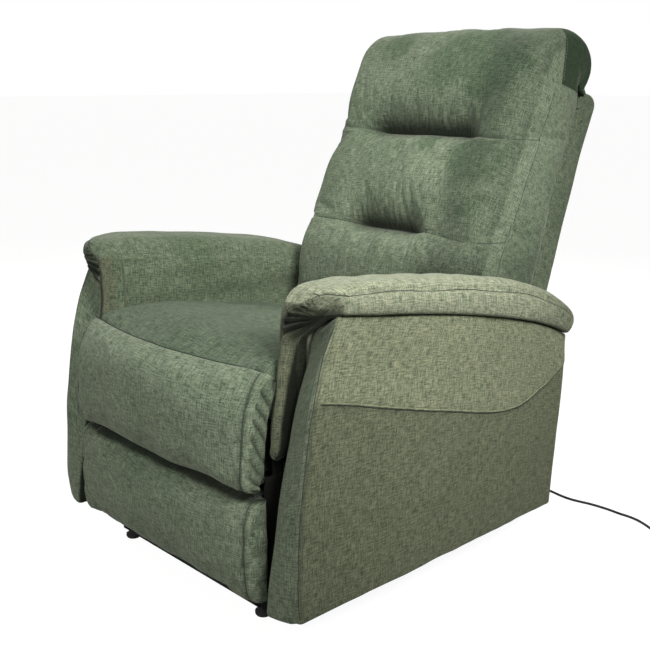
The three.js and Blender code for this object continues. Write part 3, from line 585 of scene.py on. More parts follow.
class Pad:
    """An upholstered piece: rings between a face line and an anchor line, both [y, z] in mm.

    half is half its width and corner its edges' radius. Over its points, x and depth are places in
    the section, s is the distance along the face line, width runs from -1 to 1 across, centre is 1
    in the middle and 0 at the sides, and near fades from 1 on the face to 0 down the sides."""

    def __init__(self, rows, half, spacing=8, corner=12, across=64, side=8):
        line, self.reach = smooth_line(rows, spacing)
        self.face, self.anchor = line[:, 0:2], line[:, 2:4]
        self.half = per_row(half, line)
        radius = per_row(corner, line)
        gap = self.face - self.anchor
        depth = np.maximum(np.linalg.norm(gap, axis=1), 1e-6)
        self.out = gap / depth[:, None]
        turn = np.linspace(0, np.pi / 2, 7)
        rings = []
        for r, h, d in zip(radius, self.half, depth):
            r = min(r, 0.85 * d, h)
            up = [(h, s) for s in np.linspace(d, r, side, endpoint=False)]
            bend = [(h - r + r * math.cos(a), r - r * math.sin(a)) for a in turn]
            flat = [(x, 0.0) for x in np.linspace(h - r, r - h, across)[1:-1]]
            rear = [(x, d) for x in np.linspace(-h, h, across // 3)[1:-1]]
            rings.append(up + bend + flat + [(-x, s) for x, s in reversed(up + bend)] + rear)
        rings = np.array(rings)
        self.x, self.depth = rings[:, :, 0], rings[:, :, 1]
        self.full_depth = depth[:, None]
        self.s = np.broadcast_to(self.reach[:, None], self.x.shape)
        first = side + len(turn) - 1
        self.flat = slice(first, first + across)
        flat_point = self.face[:, None, :] - self.out[:, None, :] * self.depth[:, :, None]
        self.points = np.concatenate([self.x[:, :, None], flat_point], axis=2)
        self.near = np.clip(1 - self.depth / 18, 0, 1)
        self.width = self.x / self.half[:, None]
        self.centre = np.clip(1 - self.width ** 2, 0, 1)
        behind = 2 * (side + len(turn)) + across - 2
        self.rear = np.zeros(self.x.shape, bool)
        self.rear[:, behind:] = True
        # Painted shade at each point, from 0 to 1.
        self.painted_shade = np.zeros(self.x.shape)

    def swell(self, amount):
        """Moves the show face outwards by an amount in mm, fading down the sides."""
        move = np.where(self.rear, 0, amount * self.near)
        self.points[:, :, 1:] += self.out[:, None, :] * move[:, :, None]

    def widen(self, amount):
        """Moves the two sides outwards along X by an amount in mm."""
        on_side = np.where(self.rear, 0, smoothstep(np.abs(self.width), 0.96, 1.0))
        self.points[:, :, 0] += np.sign(self.x) * amount * on_side

    def shift(self, dx=0.0, dy=0.0, dz=0.0):
        for axis, amount in enumerate((dx, dy, dz)):
            self.points[:, :, axis] += amount

    def build(self, name, material, body):
        return add_cover(name, self.points, self.painted_shade, material, body)

    def column(self, distance, side=1):
        """The face's points at a distance in mm from its side edge, from first to last station."""
        target = side * (self.half - distance)
        return np.array([[np.interp(at, x[::-1], axis[::-1]) for axis in points.T]
                         for at, x, points in zip(target, self.x[:, self.flat], self.points[:, self.flat])])

    def relax(self, seams, spare=0.03, cap=5, stride=2):
        """Settles the cover as cloth. Its back, its two ends and the seams keep their place."""
        held = self.rear | (seams > 0.5)
        held[:2] = held[-2:] = True
        self.points = settle(self.points, held, spare, cap, stride)

    def crossing(self, level):
        """The face's points where a field over the rings changes sign, one for each column."""
        found = []
        for j in range(self.flat.start, self.flat.stop):
            low = int(np.argmax(level[:, j] > 0)) - 1
            share = level[low, j] / (level[low, j] - level[low + 1, j])
            found.append(self.points[low, j] * (1 - share) + self.points[low + 1, j] * share)
        return np.array(found)


def tube_mesh(name, path, radius, sides=6):
    """A closed tube in metres along a path in mm. The radius may differ at each point."""
    path = np.array(path, float)
    radii = np.broadcast_to(np.asarray(radius, float), (len(path),))
    ahead = np.gradient(path, axis=0)
    ahead /= np.linalg.norm(ahead, axis=1)[:, None]
    up = np.array([0.0, 0.0, 1.0]) if abs(ahead[0][2]) < 0.9 else np.array([1.0, 0.0, 0.0])
    rings = []
    for point, forward, r in zip(path, ahead, radii):
        side = np.cross(forward, up)
        side /= np.linalg.norm(side)
        up = np.cross(side, forward)
        angles = np.linspace(0, 2 * np.pi, sides, endpoint=False)
        rings.append([point + r * (np.cos(a) * side + np.sin(a) * up) for a in angles])
    return ring_mesh(name, np.array(rings))


def add_tube(name, path, radius, body, material=None, sides=6):
    """A sewn seam seen as a thin line, or a cord of cloth if it has its own material."""
    return add_object(name, tube_mesh(name, path, radius, sides), material or SEAM, body)


def join_meshes(name, meshes):
    shape = bmesh.new()
    for mesh in meshes:
        shape.from_mesh(mesh)
        bpy.data.meshes.remove(mesh)
    joined = bpy.data.meshes.new(name)
    shape.to_mesh(joined)
    shape.free()
    return joined


def stitches(name, path, lift, body, pitch=6.5, length=4.6, radius=0.65):
    """A row of sewing stitches along a path in mm, raised off the cloth by the vectors in lift."""
    path = np.array(path, float) + np.array(lift, float)
    reach = path_length(path)
    meshes = []
    for start in np.arange(2, reach[-1] - length, pitch):
        stops = start + length * np.array([0, 0.2, 0.5, 0.8, 1])
        run = read_off(stops, reach, path)
        meshes.append(tube_mesh("stitch", run, radius * np.array([0.35, 0.95, 1, 0.95, 0.35]), sides=5))
    return add_object(name, join_meshes(name, meshes), THREAD, body)


def lay_on(piece, path, towards, lift=0.3):
    """A path in mm moved along a direction until it lies on the piece, then lifted a little off it."""
    mesh = piece.data
    tree = BVHTree.FromPolygons([v.co for v in mesh.vertices], [p.vertices for p in mesh.polygons])
    ray = Vector(towards).normalized()
    laid = []
    for point in path:
        start = Vector(point) * MM - ray * 0.08
        hit = tree.ray_cast(start, ray, 0.4)[0]
        if hit is not None:
            laid.append((hit - ray * lift * MM) / MM)
    return np.array(laid)


def seam_line(name, piece, path, towards, body, radius):
    """A sewn seam half sunk in the piece's cloth."""
    return add_tube(name, lay_on(piece, path, towards, lift=0.0), radius, body)


# ---------------------------------------------------------------- mains lead

LEAD_RADIUS = 0.00275
LEAD_POINTS = [
    (0.120, 0.284, 0.027), (0.120, 0.296, 0.026), (0.121, 0.312, 0.020), (0.125, 0.330, 0.011),
    (0.132, 0.347, 0.0045), (0.142, 0.363, 0.003), (0.158, 0.382, 0.003), (0.180, 0.400, 0.003),
    (0.208, 0.413, 0.003), (0.240, 0.418, 0.003), (0.276, 0.415, 0.003), (0.300, 0.411, 0.003),
    (0.327, 0.410, 0.003), (0.350, 0.414, 0.003), (0.375, 0.420, 0.003), (0.400, 0.423, 0.003),
    (0.425, 0.424, 0.003), (0.450, 0.423, 0.003), (0.476, 0.424, 0.003), (0.497, 0.421, 0.003),
    (0.517, 0.414, 0.003), (0.537, 0.4045, 0.003), (0.556, 0.396, 0.003), (0.575, 0.390, 0.003),
]
COIL_TURNS = [0.03565, 0.0300, 0.02435, 0.02435, 0.0300, 0.03565]
PLUG_START = (0.606, 0.474, 0.0128)


def coil_points():
    """Six turns: three side by side on the floor, then three on top of them, outwards again."""
    low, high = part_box("mains_cord_coil")
    centre = (low + high) / 2
    per_turn = 28
    begin = math.atan2(LEAD_POINTS[-1][1] - centre.y, LEAD_POINTS[-1][0] - centre.x) + math.radians(22)
    end = math.atan2(PLUG_START[1] - centre.y, PLUG_START[0] - centre.x) - math.radians(24)
    turns = len(COIL_TURNS) - 1 + (end - begin) / (2 * math.pi) % 1
    count = int(turns * per_turn)
    points = []
    for i in range(count + 1):
        done = turns * i / count
        turn = min(int(done), len(COIL_TURNS) - 1)
        share = max(0.0, (done - turn - 0.72) / 0.28)
        share = share * share * (3 - 2 * share)
        ahead = min(turn + 1, len(COIL_TURNS) - 1)
        radius = COIL_TURNS[turn] + (COIL_TURNS[ahead] - COIL_TURNS[turn]) * share
        layer = (turn >= 3) + ((ahead >= 3) - (turn >= 3)) * share
        angle = begin + 2 * math.pi * done
        points.append((centre.x + radius * math.cos(angle), centre.y + radius * math.sin(angle),
                       0.0029 + 0.0056 * layer))
    return points


def make_cord():
    points = LEAD_POINTS + coil_points() + [PLUG_START]
    data = bpy.data.curves.new("mains_lead", "CURVE")
    data.dimensions = "3D"
    data.bevel_depth = LEAD_RADIUS
    data.bevel_resolution = 3
    data.resolution_u = 4
    data.use_fill_caps = True
    spline = data.splines.new("BEZIER")
    spline.bezier_points.add(len(points) - 1)
    for bezier, point in zip(spline.bezier_points, points):
        bezier.co = point
        bezier.handle_left_type = bezier.handle_right_type = "AUTO"
    cord = bpy.data.objects.new("mains_lead", data)
    bpy.context.scene.collection.objects.link(cord)
    data.materials.append(RUBBER)
    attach(cord, "base")
    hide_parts("mains_cord", "mains_cord_coil")


make_camera()
make_cord()
make_studio()


# ---------------------------------------------------------------- seat, front pad and footrest

SEAT_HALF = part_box("seat_cushion")[1].x / MM
PANEL_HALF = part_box("seat_front_pad")[1].x / MM
# The sewn edge of the two front panels, from their sides, and its stitches.
SEAM_IN = 10
STITCHES_IN = (("inner", 15), ("outer", 5.5))


def front_bow(x, half):
    """How far the seat's front seam stands forward of its ends, in mm."""
    return 34 * np.clip(1 - (x / half) ** 2, 0, 1) ** 1.25


def seat_cushion():
    rows = [
        [-472, 474, -462, 400], [-471.5, 483, -458, 398], [-467, 489, -452, 396], [-452, 495, -440, 393],
        [-400, 498, -400, 388], [-344, 493, -344, 380], [-211, 475, -211, 361], [-81, 454, -81, 341],
        [8, 433, 0, 328], [34, 418, 24, 323],
    ]
    pad = Pad(rows, SEAT_HALF - 1, spacing=lambda s: 5 if s < 60 else 9, corner=16, across=90, side=7)
    pad.swell(17 * pad.centre ** 0.8 * smoothstep(pad.s, 10, 120))
    near_arm = smoothstep(np.abs(pad.x), 150, 265)
    pad.swell(2.6 * creases(pad.s, pad.x * 0.22, 62, 11) * near_arm * smoothstep(pad.s, 40, 110))
    pad.swell(1.8 * ripple(pad.x, pad.s, 150, 5))
    pad.swell(-9 * bell(pad.x, 70, 90) * bell(pad.s, 190, 90))
    pad.swell(-1.2 * np.abs(np.sin(pad.x / 17 + 2 * np.sin(pad.x / 60))) * bell(pad.s, 12, 14))
    pad.shift(dy=-front_bow(pad.x, SEAT_HALF) * (1 - smoothstep(pad.s, 30, 190)))
    pad.relax(bell(pad.s, 0, 14), spare=0.035, cap=6)
    piece = pad.build("seat_cushion_cover", FABRIC_SEAT, "chair")
    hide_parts("seat_cushion")


def front_pad():
    rows = [
        [-472.5, 484, -462, 474], [-478, 487, -458, 468], [-487, 484, -454, 460], [-502, 466, -450, 445],
        [-518, 427, -450, 415], [-526, 381, -450, 381], [-531, 329, -450, 331], [-533, 298, -450, 300],
        [-529, 284, -451, 291], [-518, 277, -453, 286], [-500, 275, -470, 283],
    ]
    pad = Pad(rows, PANEL_HALF, spacing=3.5, corner=9, across=130, side=22)
    high = pad.points[:, :, 2]
    pad.shift(dy=-front_bow(pad.x, PANEL_HALF) * (0.35 + 0.65 * smoothstep(high, 290, 470)))
    pad.swell(6 * pad.centre ** 0.5 * smoothstep(high, 275, 330))
    pad.swell(1.4 * ripple(pad.x, high, 130, 21))
    low_wave = 1.8 * np.sin(pad.x / 46 + 0.8) - 4 * smoothstep(np.abs(pad.x), 230, 280)
    pad.shift(dz=-low_wave * (1 - smoothstep(high, 285, 350)))
    pad.swell(-2.0 * bell(np.abs(pad.x), PANEL_HALF - SEAM_IN, 2.4))
    gusset = smoothstep(pad.depth, 6, 12) * (1 - smoothstep(pad.depth, 36, 46))
    slant = 1 - np.abs(np.sin((high + 1.25 * pad.depth) / 9.5 + 0.6 * np.sin(high / 23)))
    pad.widen(3 + gusset * (2.4 - 6.0 * slant ** 2.2) - 20 * smoothstep(pad.depth, 42, 50)
              - 20 * smoothstep(pad.points[:, :, 1], -502, -488) * (1 - smoothstep(high, 292, 305)))
    # Painted shade in the gusset's valleys, towards its back, along the sewn edges and on the bottom rim.
    pad.painted_shade = (gusset * slant ** 1.5 * 0.8 + smoothstep(pad.depth, 38, 48)
                  + 0.7 * bell(np.abs(pad.x), PANEL_HALF - SEAM_IN, 3) + 1 - smoothstep(high, 276, 288))
    pad.relax(bell(np.abs(pad.x), PANEL_HALF - SEAM_IN, 5) + (pad.depth > 10))
    piece = pad.build("front_pad_cover", FABRIC_FRONT, "chair")
    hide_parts("seat_front_pad")
    top = pad.points[0, pad.flat]
    top = top[np.abs(top[:, 0]) <= 0.985 * PANEL_HALF]
    add_tube("front_seam", top + np.array([0, 0, 0.8]), 1.0, "chair")
    for side, label in SIDES:
        panel_edge("front_pad", label, pad, side, "chair")


def panel_edge(name, label, pad, side, body):
    """The sewn edge of a front panel: a sunk seam with a row of stitches on each side of it."""
    add_tube(f"{name}_seam_{label}", pad.column(SEAM_IN, side)[4:-5], 1.0, body)
    for order, distance in STITCHES_IN:
        edge = pad.column(distance, side)[4:-5]
        stitches(f"{name}_stitch_{order}_{label}", edge, (0, -0.4, 0), body)


def footrest_pad():
    rows = [
        [-464, 265, -464, 262.4], [-480, 265.5, -480, 262.4], [-491, 265, -488, 262],
        [-501, 263, -490, 256], [-512, 257, -490, 250], [-521, 243, -490, 240], [-526, 215, -490, 212],
        [-527, 170, -490, 170], [-526, 120, -490, 122], [-522, 88, -490, 90], [-514, 73, -490, 80],
        [-503, 67, -490, 73], [-494, 66.5, -490, 70],
    ]

    def half(line):
        return PANEL_HALF - 20 * smoothstep(line[:, 0], -494, -484)

    pad = Pad(rows, half, spacing=4, corner=10, across=120, side=10)
    high = pad.points[:, :, 2]
    pad.swell(11 * pad.centre ** 0.6 * bell(high, 175, 110))
    pad.swell(1.6 * ripple(pad.x, high, 160, 31))
    pad.swell(1.5 * creases(pad.x * 0.55, high, 90, 32) * smoothstep(np.abs(pad.x), 120, 270))
    pad.swell(-1.5 * bell(np.abs(pad.x), PANEL_HALF - SEAM_IN, 2.2))
    pad.widen(1.5 * np.abs(np.sin(high / 17)) * smoothstep(pad.depth, 6, 16) + 5)
    # Painted shade on the top rim under the front pad's edge and along the sewn edges.
    pad.painted_shade = smoothstep(high, 254, 262) + 0.6 * bell(np.abs(pad.x), PANEL_HALF - SEAM_IN, 3)
    pad.relax(bell(np.abs(pad.x), PANEL_HALF - SEAM_IN, 5))
    piece = pad.build("footrest_cover", FABRIC_FRONT, "footrest")
    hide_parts("footrest_pad")
    for side, label in SIDES:
        panel_edge("footrest", label, pad, side, "footrest")


# ---------------------------------------------------------------- back

BACK_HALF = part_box("middle_cushion")[1].x / MM
COVER_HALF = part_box("back_cover")[1].x / MM
# The two sewn folds: height, the pocket's left and right ends, and the seed of its wrinkles.
FOLDS = {"upper": (858, -175, 172, 41), "lower": (650, -135, 112, 51)}
FOLD_DEPTH = 46
# How far along the face line the folds lie.
FOLD_REACH = (273, 505)
FOLD_END = 236
# An x outside the back, where lines start that are laid on its sides.
BESIDE_BACK = 300
# How far behind the face line the cushions' side seams run.
SIDE_SEAM = 92


def tuft(pad, high, height, left, right, seed):
    """A sewn fold across the face: a deep pocket between left and right, a thin line outside it.

    The roll above hangs over the seam, and the one below starts straight under it."""
    above = high - fold_height(pad.x, height)
    inside = smoothstep(pad.x, left - 14, left + 60) * (1 - smoothstep(pad.x, right - 60, right + 16))
    line = 1 - smoothstep(np.abs(pad.x), FOLD_END, FOLD_END + 18)
    deep = 4.0 * line + (FOLD_DEPTH - 4.0) * inside
    crisp = 1 - np.clip(np.abs(above) / np.where(above > 0, 9 + 20 * inside, 8 + 12 * inside), 0, 1)
    broad = 1 - np.clip(np.abs(above) / np.where(above > 0, 9 + 66 * inside, 8 + 22 * inside), 0, 1)
    pad.swell(-deep * (0.35 * (1 - np.sqrt(1 - crisp ** 2)) + 0.65 * broad ** 1.5))
    # Painted shade in the pocket, reaching further up under the roll above.
    pad.painted_shade += 1.15 * inside * np.exp(-(np.abs(above) / np.where(above > 0, 33, 9)) ** 1.5)
    gather = np.exp(-np.abs(above) / np.where(above > 0, 34, 12)) * inside * smoothstep(np.abs(above), 0, 8)
    pad.swell(2.3 * gather * creases(pad.x + 0.12 * above, above * 0.12, 22, seed))
    pad.swell(1.6 * gather * creases(pad.x, above * 0.2, 47, seed + 1))
    for corner, way in ((left, 1), (right, -1)):
        beyond = (corner + way * 26 - pad.x) * way
        turn = np.arctan2(-above, beyond)
        fade = np.exp(-np.hypot(above, beyond) / 62) * smoothstep(-above, 2, 14)
        for angle, width in ((0.55, 0.07), (0.95, 0.08), (1.40, 0.07)):
            pad.swell(-2.6 * fade * bell(turn, angle, width))


def fold_height(x, height):
    """The fold runs level and droops a little towards its left end."""
    return height - 10 * smoothstep(x, 85, 240)


def back_cushions():
    rows = [
        [52, 392, 236, 338], [40, 440, 262, 385], [54, 510, 275, 440], [76, 593, 300, 515],
        [108, 650, 318, 571], [138, 715, 341, 638], [165, 775, 363, 700], [212, 860, 393, 792],
        [236, 925, 418, 856], [266, 984, 436, 905], [300, 1035, 440, 935], [345, 1064, 440, 950],
        [400, 1071, 442, 955], [446, 1059, 444, 957], [478, 1034, 446, 957], [493, 1006, 448, 955],
        [494, 980, 450, 950], [488, 955, 453, 943], [480, 938, 462, 935],
    ]

    def spacing(s):
        near_seam = min(abs(s - fold) for fold in FOLD_REACH)
        return 1.8 if near_seam < 14 else 3.0 if near_seam < 60 else 7

    def corner(line):
        return 36 - 14 * smoothstep(line[:, 1], 960, 1040)

    pad = Pad(rows, BACK_HALF + 4, spacing=spacing, corner=corner, across=210, side=16)
    high = pad.points[:, :, 2].copy()
    front = 1 - smoothstep(pad.s, 640, 760)
    lumps = bell(high, 548, 72) + bell(high, 752, 70) + 0.7 * bell(high, 965, 70)
    pad.swell(13 * pad.centre ** 0.5 * lumps * front)
    top = smoothstep(pad.s, 650, 760) * (1 - smoothstep(pad.s, 900, 990))
    pad.swell(3 * pad.centre ** 0.8 * top)
    pad.swell(2.0 * ripple(pad.x, pad.s, 150, 61) * pad.centre ** 0.3)
    pad.swell(1.2 * creases(pad.x, pad.s * 0.6, 120, 62) * pad.centre)
    for fold in FOLDS.values():
        tuft(pad, high, *fold)
    pad.widen(4.5 * np.sin(np.clip(pad.depth / pad.full_depth, 0, 1) * np.pi) ** 0.7)
    # Painted shade, darker towards the bottom of the back.
    pad.painted_shade += 0.36 * (1 - smoothstep(high, 560, 655))
    # Darker over the +x side of the face.
    pad.painted_shade += 0.46 * smoothstep(pad.x, 85, 190) * (pad.depth < 40)
    folds = sum(bell(high, fold_height(pad.x, height), 9) for height, *_ in FOLDS.values())
    pad.relax(folds * front, spare=0.035, cap=7, stride=3)
    piece = pad.build("back_cushion_cover", FABRIC_BACK, "back")
    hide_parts("lumbar_cushion", "middle_cushion", "head_cushion")
    back_seams(pad, piece, high)


def back_seams(pad, piece, high):
    """Lines in the two folds, round the head's side panels and down the cushions' two sides."""
    for word, (height, *_) in FOLDS.items():
        laid = pad.crossing(high - fold_height(pad.x, height))
        laid = laid[(laid[:, 0] > -246) & (laid[:, 0] < FOLD_END)]
        laid = laid[np.argsort(laid[:, 0])]
        start = laid[-1][1] + 6
        depths = np.arange(start, start + SIDE_SEAM - 12, 6)
        flank = [(BESIDE_BACK, y, laid[-1][2] - 0.06 * (y - start)) for y in depths]
        path = np.concatenate([laid[::2], lay_on(piece, flank, (-1, 0, 0), 0)])
        add_tube(f"back_fold_{word}", path, 0.9, "back")
    corner_y, corner_z = (v / MM for v in PATCH_CORNER)
    rising = pad.face[pad.reach < 620]
    for side, label in SIDES:
        x = side * BESIDE_BACK
        edge = [(x, corner_y + PATCH_LEAN * (z - corner_z), z) for z in np.arange(corner_z, 1066, 6)]
        foot = [(x, y, corner_z - PATCH_FALL * (y - corner_y)) for y in np.arange(corner_y, 480, 6)]
        seam_line(f"head_patch_seam_{label}", piece, foot[::-1] + edge, (-side, 0, 0), "back", 0.8)
        for order, gap in (("inner", 4.5), ("outer", -4.5)):
            run = lay_on(piece, [(x, y + gap, z) for _, y, z in edge[1:]], (-side, 0, 0), 0.2)
            stitches(f"head_patch_stitch_{order}_{label}", run, (0, 0, 0), "back", radius=0.9)
        heights = np.arange(490, 945, 8)
        depths = np.interp(heights, rising[:, 1], rising[:, 0]) + SIDE_SEAM
        seam = [(x, y, z) for y, z in zip(depths, heights)]
        seam_line(f"back_side_seam_{label}", piece, seam, (-side, 0, 0), "back", 0.7)


def back_cover():
    rows = [
        [460, 926, 456, 922], [468, 934, 456, 920], [482, 938, 456, 918], [506, 935, 455, 914],
        [523, 924, 453, 910], [528, 908, 450, 906], [519, 885, 447, 898], [477, 791, 410, 816],
        [446, 702, 379, 727], [415, 614, 348, 639], [390, 536, 322, 561], [356, 440, 284, 465],
        [314, 330, 242, 355], [289, 278, 218, 302], [280, 268, 214, 296], [262, 264, 212, 292],
    ]
    pad = Pad(rows, COVER_HALF, spacing=9, corner=9, across=56, side=10)
    pad.swell(7 * pad.centre ** 0.6 * smoothstep(pad.s, 60, 160) * (1 - smoothstep(pad.s, 600, 720)))
    pad.swell(1.2 * ripple(pad.x, pad.s, 170, 71))
    pad.swell(-2.4 * bell(pad.s, 470, 3.5) * smoothstep(pad.s, 0, 1))
    pad.widen(2.0 * np.sin(np.clip(pad.depth / pad.full_depth, 0, 1) * np.pi))
    piece = pad.build("back_shell_cover", FABRIC_SLAB, "back")
    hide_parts("back_cover")
    for side, label in SIDES:
        stitches(f"back_shell_stitch_{label}", pad.column(12, side)[6:-5], (0, 0.6, 0.2), "back")


seat_cushion()
front_pad()
footrest_pad()
back_cushions()
back_cover()


# ---------------------------------------------------------------- arms

WING_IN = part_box("wing_left")[0].x / MM
WING_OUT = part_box("wing_left")[1].x / MM
WING_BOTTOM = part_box("wing_left")[0].z / MM
WING_ROUND = 8.0
FRONT_EDGE = [(-502, 66), (-509, 129), (-502, 258), (-492, 341), (-477, 430), (-452, 521), (-415, 596)]
INNER_EDGE = [(-522, 66), (-514, 129), (-499, 237), (-487, 307), (-474, 376), (-459, 444), (-440, 510),
              (-413, 590)]
TOP_EDGE = [(-430, 597), (-415, 596), (-315, 580), (-185, 561), (-100, 546), (-9, 528), (90, 505),
            (178, 478), (254, 447), (266, 443)]
REAR_EDGE = [(234, 66), (241, 130), (249, 209), (259, 298), (262, 409), (264, 444)]
RIDGE = [(-478, 461), (-385, 438), (-260, 402), (-120, 365), (-28, 341), (37, 328), (104, 327), (173, 344),
         (225, 368), (254, 386)]
# Where the ridge's bead starts, just behind the wing's front edge.
RIDGE_FRONT = -466
# The wing's front strip and its top's front end, up to this y, are of the front pads' cloth.
FRONT_CLOTH = -380


def depth_table(points):
    """A smooth edge's height as a function of its depth."""
    line, _ = smooth_line(points, 4)
    return lambda y: np.interp(y, line[:, 0], line[:, 1])


def height_table(points):
    """A smooth edge's depth as a function of its height."""
    return depth_table([(z, y) for y, z in points])


def wing_skin(y, z):
    """How far the wing's outer cloth stands off its frame, in mm."""
    return (2.6 * np.sin(np.clip((y + 500) / 760, 0, 1) * np.pi)
            + 1.1 * ripple(y, z, 210, 81) + 0.5 * ripple(y, z, 70, 82))


def wing_rings(front_out):
    """The wing's level sections from the bottom up, before any relief, on the positive side of X."""
    front_in, rear = height_table(INNER_EDGE), height_table(REAR_EDGE)
    top = depth_table(TOP_EDGE)
    thick = WING_OUT - WING_IN
    turn = np.linspace(0, np.pi / 2, 6)
    # Levels as shares of the height, and how far the cloth is tucked in at each, in mm.
    levels = np.linspace(0.03, 0.985, 62)
    shares = np.concatenate([[0, 0.002, 0.006, 0.014], levels, [0.994, 1.0]])
    tuck = np.concatenate([[7, 3, 1, 0], 0 * levels, [0.6, 2.5]])
    r = WING_ROUND
    (top_front, z_top_front), (top_rear, z_top_rear) = TOP_EDGE[1], TOP_EDGE[-1]
    rings = []
    for share, skin in zip(shares, tuck):
        z_front = WING_BOTTOM + share * (z_top_front - WING_BOTTOM)
        z_rear = WING_BOTTOM + share * (z_top_rear - WING_BOTTOM)
        y_out, y_in, y_rear = front_out(z_front), front_in(z_front), rear(z_rear)
        plan = [(skin, y) for y in np.linspace(y_rear - r, y_in + r, 30)]
        plan += [(skin + r - r * math.cos(a), y_in + skin + r - r * math.sin(a)) for a in turn]
        for x in np.linspace(skin + r, thick - skin - r, 9)[1:-1]:
            share_x = (x / thick) ** 1.3
            bow = 3.0 * math.sin(math.pi * x / thick)
            plan.append((x, y_in + (y_out - y_in) * share_x - bow + skin))
        plan += [(thick - skin - r + r * math.sin(a), y_out + skin + r - r * math.cos(a)) for a in turn]
        plan += [(thick - skin, y) for y in np.linspace(y_out + r, y_rear - r, 96)[1:-1]]
        plan += [(thick - skin - r + r * math.cos(a), y_rear - skin - r + r * math.sin(a)) for a in turn]
        plan += [(skin + r - r * math.sin(a), y_rear - skin - r + r * math.cos(a)) for a in turn[:-1]]
        plan = np.array(plan)
        drop = 0.98 * (thick - plan[:, 0]) * smoothstep(-plan[:, 1], 384, 424)
        z_top = top(np.clip(plan[:, 1], top_front, top_rear)) - drop
        z = WING_BOTTOM + share * (z_top - WING_BOTTOM)
        rings.append(np.stack([WING_IN + plan[:, 0], plan[:, 1], z], axis=1))
    return np.array(rings)


def wing_cover(side, label):
    front_out = height_table(FRONT_EDGE)
    points = wing_rings(front_out)
    y, z = points[:, :, 1], points[:, :, 2]
    outer = smoothstep(points[:, :, 0], WING_OUT - 3, WING_OUT - 0.5)
    inner = 1 - smoothstep(points[:, :, 0], WING_IN + 1, WING_IN + 6)
    ridge = depth_table(RIDGE)
    gap = z - ridge(y)
    front_line = y - front_out(z)
    points[:, :, 0] += outer * (wing_skin(y, z) - 1.8 * bell(front_line, 9, 2.4)
                                + 2.2 * smoothstep(gap, -9, 0) * (1 - smoothstep(gap, 0, 60))
                                * smoothstep(front_line, 8, 20))
    points[:, :, 1] += smoothstep(-y, 300, 470) * (1 - outer) * 1.2 * np.sin(z / 26)
    points[:, :, 0] *= side
    # Painted shade: under the ridge, along the front edge's crease, over the left wing's faces other than its
    # outer side, near the top under the arm, and on the inner face beside the seat.
    left_wing_shade = 0.3 if side > 0 else 0.0
    painted_shade = (outer * (0.34 * (1 - smoothstep(gap, -4, 1)) + 0.2 * bell(gap, -5, 3)
                       + 0.25 * bell(front_line, 9, 3))
              + (1 - outer) * (left_wing_shade + 0.35 * smoothstep(z, 500, 590) + inner))
    piece = add_cover(f"wing_cover_{label}", points, painted_shade, [FABRIC_SIDE, FABRIC_FRONT], "chair")
    other_cloth(piece, lambda x, y, z: abs(x) < WING_OUT - 1.5 and y < FRONT_CLOTH)
    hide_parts(f"wing_{label}")
    wing_seams(piece, front_out, side, label)


def wing_seams(piece, front_out, side, label):
    """The bead along the ridge with its seam, and the front edge's seam and two rows of stitches."""
    line, _ = smooth_line(RIDGE, 6)
    y, z = line[line[:, 0] > RIDGE_FRONT].T
    bead = np.stack([side * (WING_OUT + wing_skin(y, z) + 1.2), y, z], axis=1)
    add_tube(f"wing_ridge_{label}", bead[1:-1], 2.2, "chair", FABRIC_SIDE, sides=8)
    below = bead[1:-1] + np.array([0, 0, -3.4])
    seam_line(f"wing_ridge_seam_{label}", piece, below, (-side, 0, 0), "chair", 0.7)
    heights = np.arange(80, 584, 5.0)
    front_row = [(side * (WING_OUT - 6), -600, z) for z in heights]
    edge_row, side_row = [[(side * (WING_OUT + 20), front_out(z) + inset, z) for z in heights]
                          for inset in (4, 10)]
    seam_line(f"wing_edge_seam_{label}", piece, edge_row, (-side, 0, 0), "chair", 0.9)
    for order, row, towards in (("front", front_row, (0, 1, 0)), ("side", side_row, (-side, 0, 0))):
        laid = lay_on(piece, row, towards, 0.2)
        stitches(f"wing_edge_stitch_{order}_{label}", laid, (0, 0, 0), "chair")


# Rows of the arm's cover: top [y, z], underside [y, z], outer edge x, outer radius, inner radius,
# share of the welt seam, and 1 where the cover hangs down inside the arm.
ARM_ROWS = [
    [255, 450, 250, 449, 384, 6, 6, 0.0, 0], [266, 456, 249, 450, 391, 12, 12, 0.2, 0],
    [273, 474, 246, 452, 396, 18, 18, 0.6, 0], [268, 494, 240, 455, 397, 22, 24, 1, 0],
    [246, 514, 228, 461, 397, 24, 30, 1, 0], [214, 531, 204, 471, 397, 26, 34, 1, 1],
    [137, 563, 130, 495, 397, 28, 36, 1, 1], [45, 588, 40, 518, 397, 28, 36, 1, 1],
    [-48, 604, -52, 538, 397, 28, 36, 1, 1], [-165, 620, -165, 559, 397, 28, 36, 1, 1],
    [-274, 632, -274, 576, 397, 28, 36, 1, 1], [-340, 638, -340, 585, 397, 28, 36, 1, 1],
    [-385, 640, -382, 592, 397, 28, 36, 1, 1], [-413, 637, -404, 595, 396, 26, 32, 0.7, 1],
    [-434, 627, -408, 593, 389, 24, 28, 0.2, 1], [-447, 610, -406, 588, 376, 22, 24, 0, 0],
    [-452, 590, -405, 580, 356, 20, 20, 0, 0], [-453, 566, -404, 562, 330, 18, 18, 0, 0],
    [-454, 545, -404, 541, 306, 16, 16, 0, 0], [-456, 511, -404, 508, 302, 15, 15, 0, 0],
    [-465, 445, -404, 443, 302, 15, 14, 0, 0], [-474, 392, -404, 390, 302, 15, 14, 0, 0],
    [-478, 362, -406, 364, 301, 15, 14, 0, 0], [-479, 345, -412, 350, 298, 14, 13, 0, 0],
    [-476, 335, -430, 340, 294, 8, 8, 0, 0],
]
ARM_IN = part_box("inner_arm_left")[0].x / MM
LEG_FOOT = 262
LEG_OUT = 313
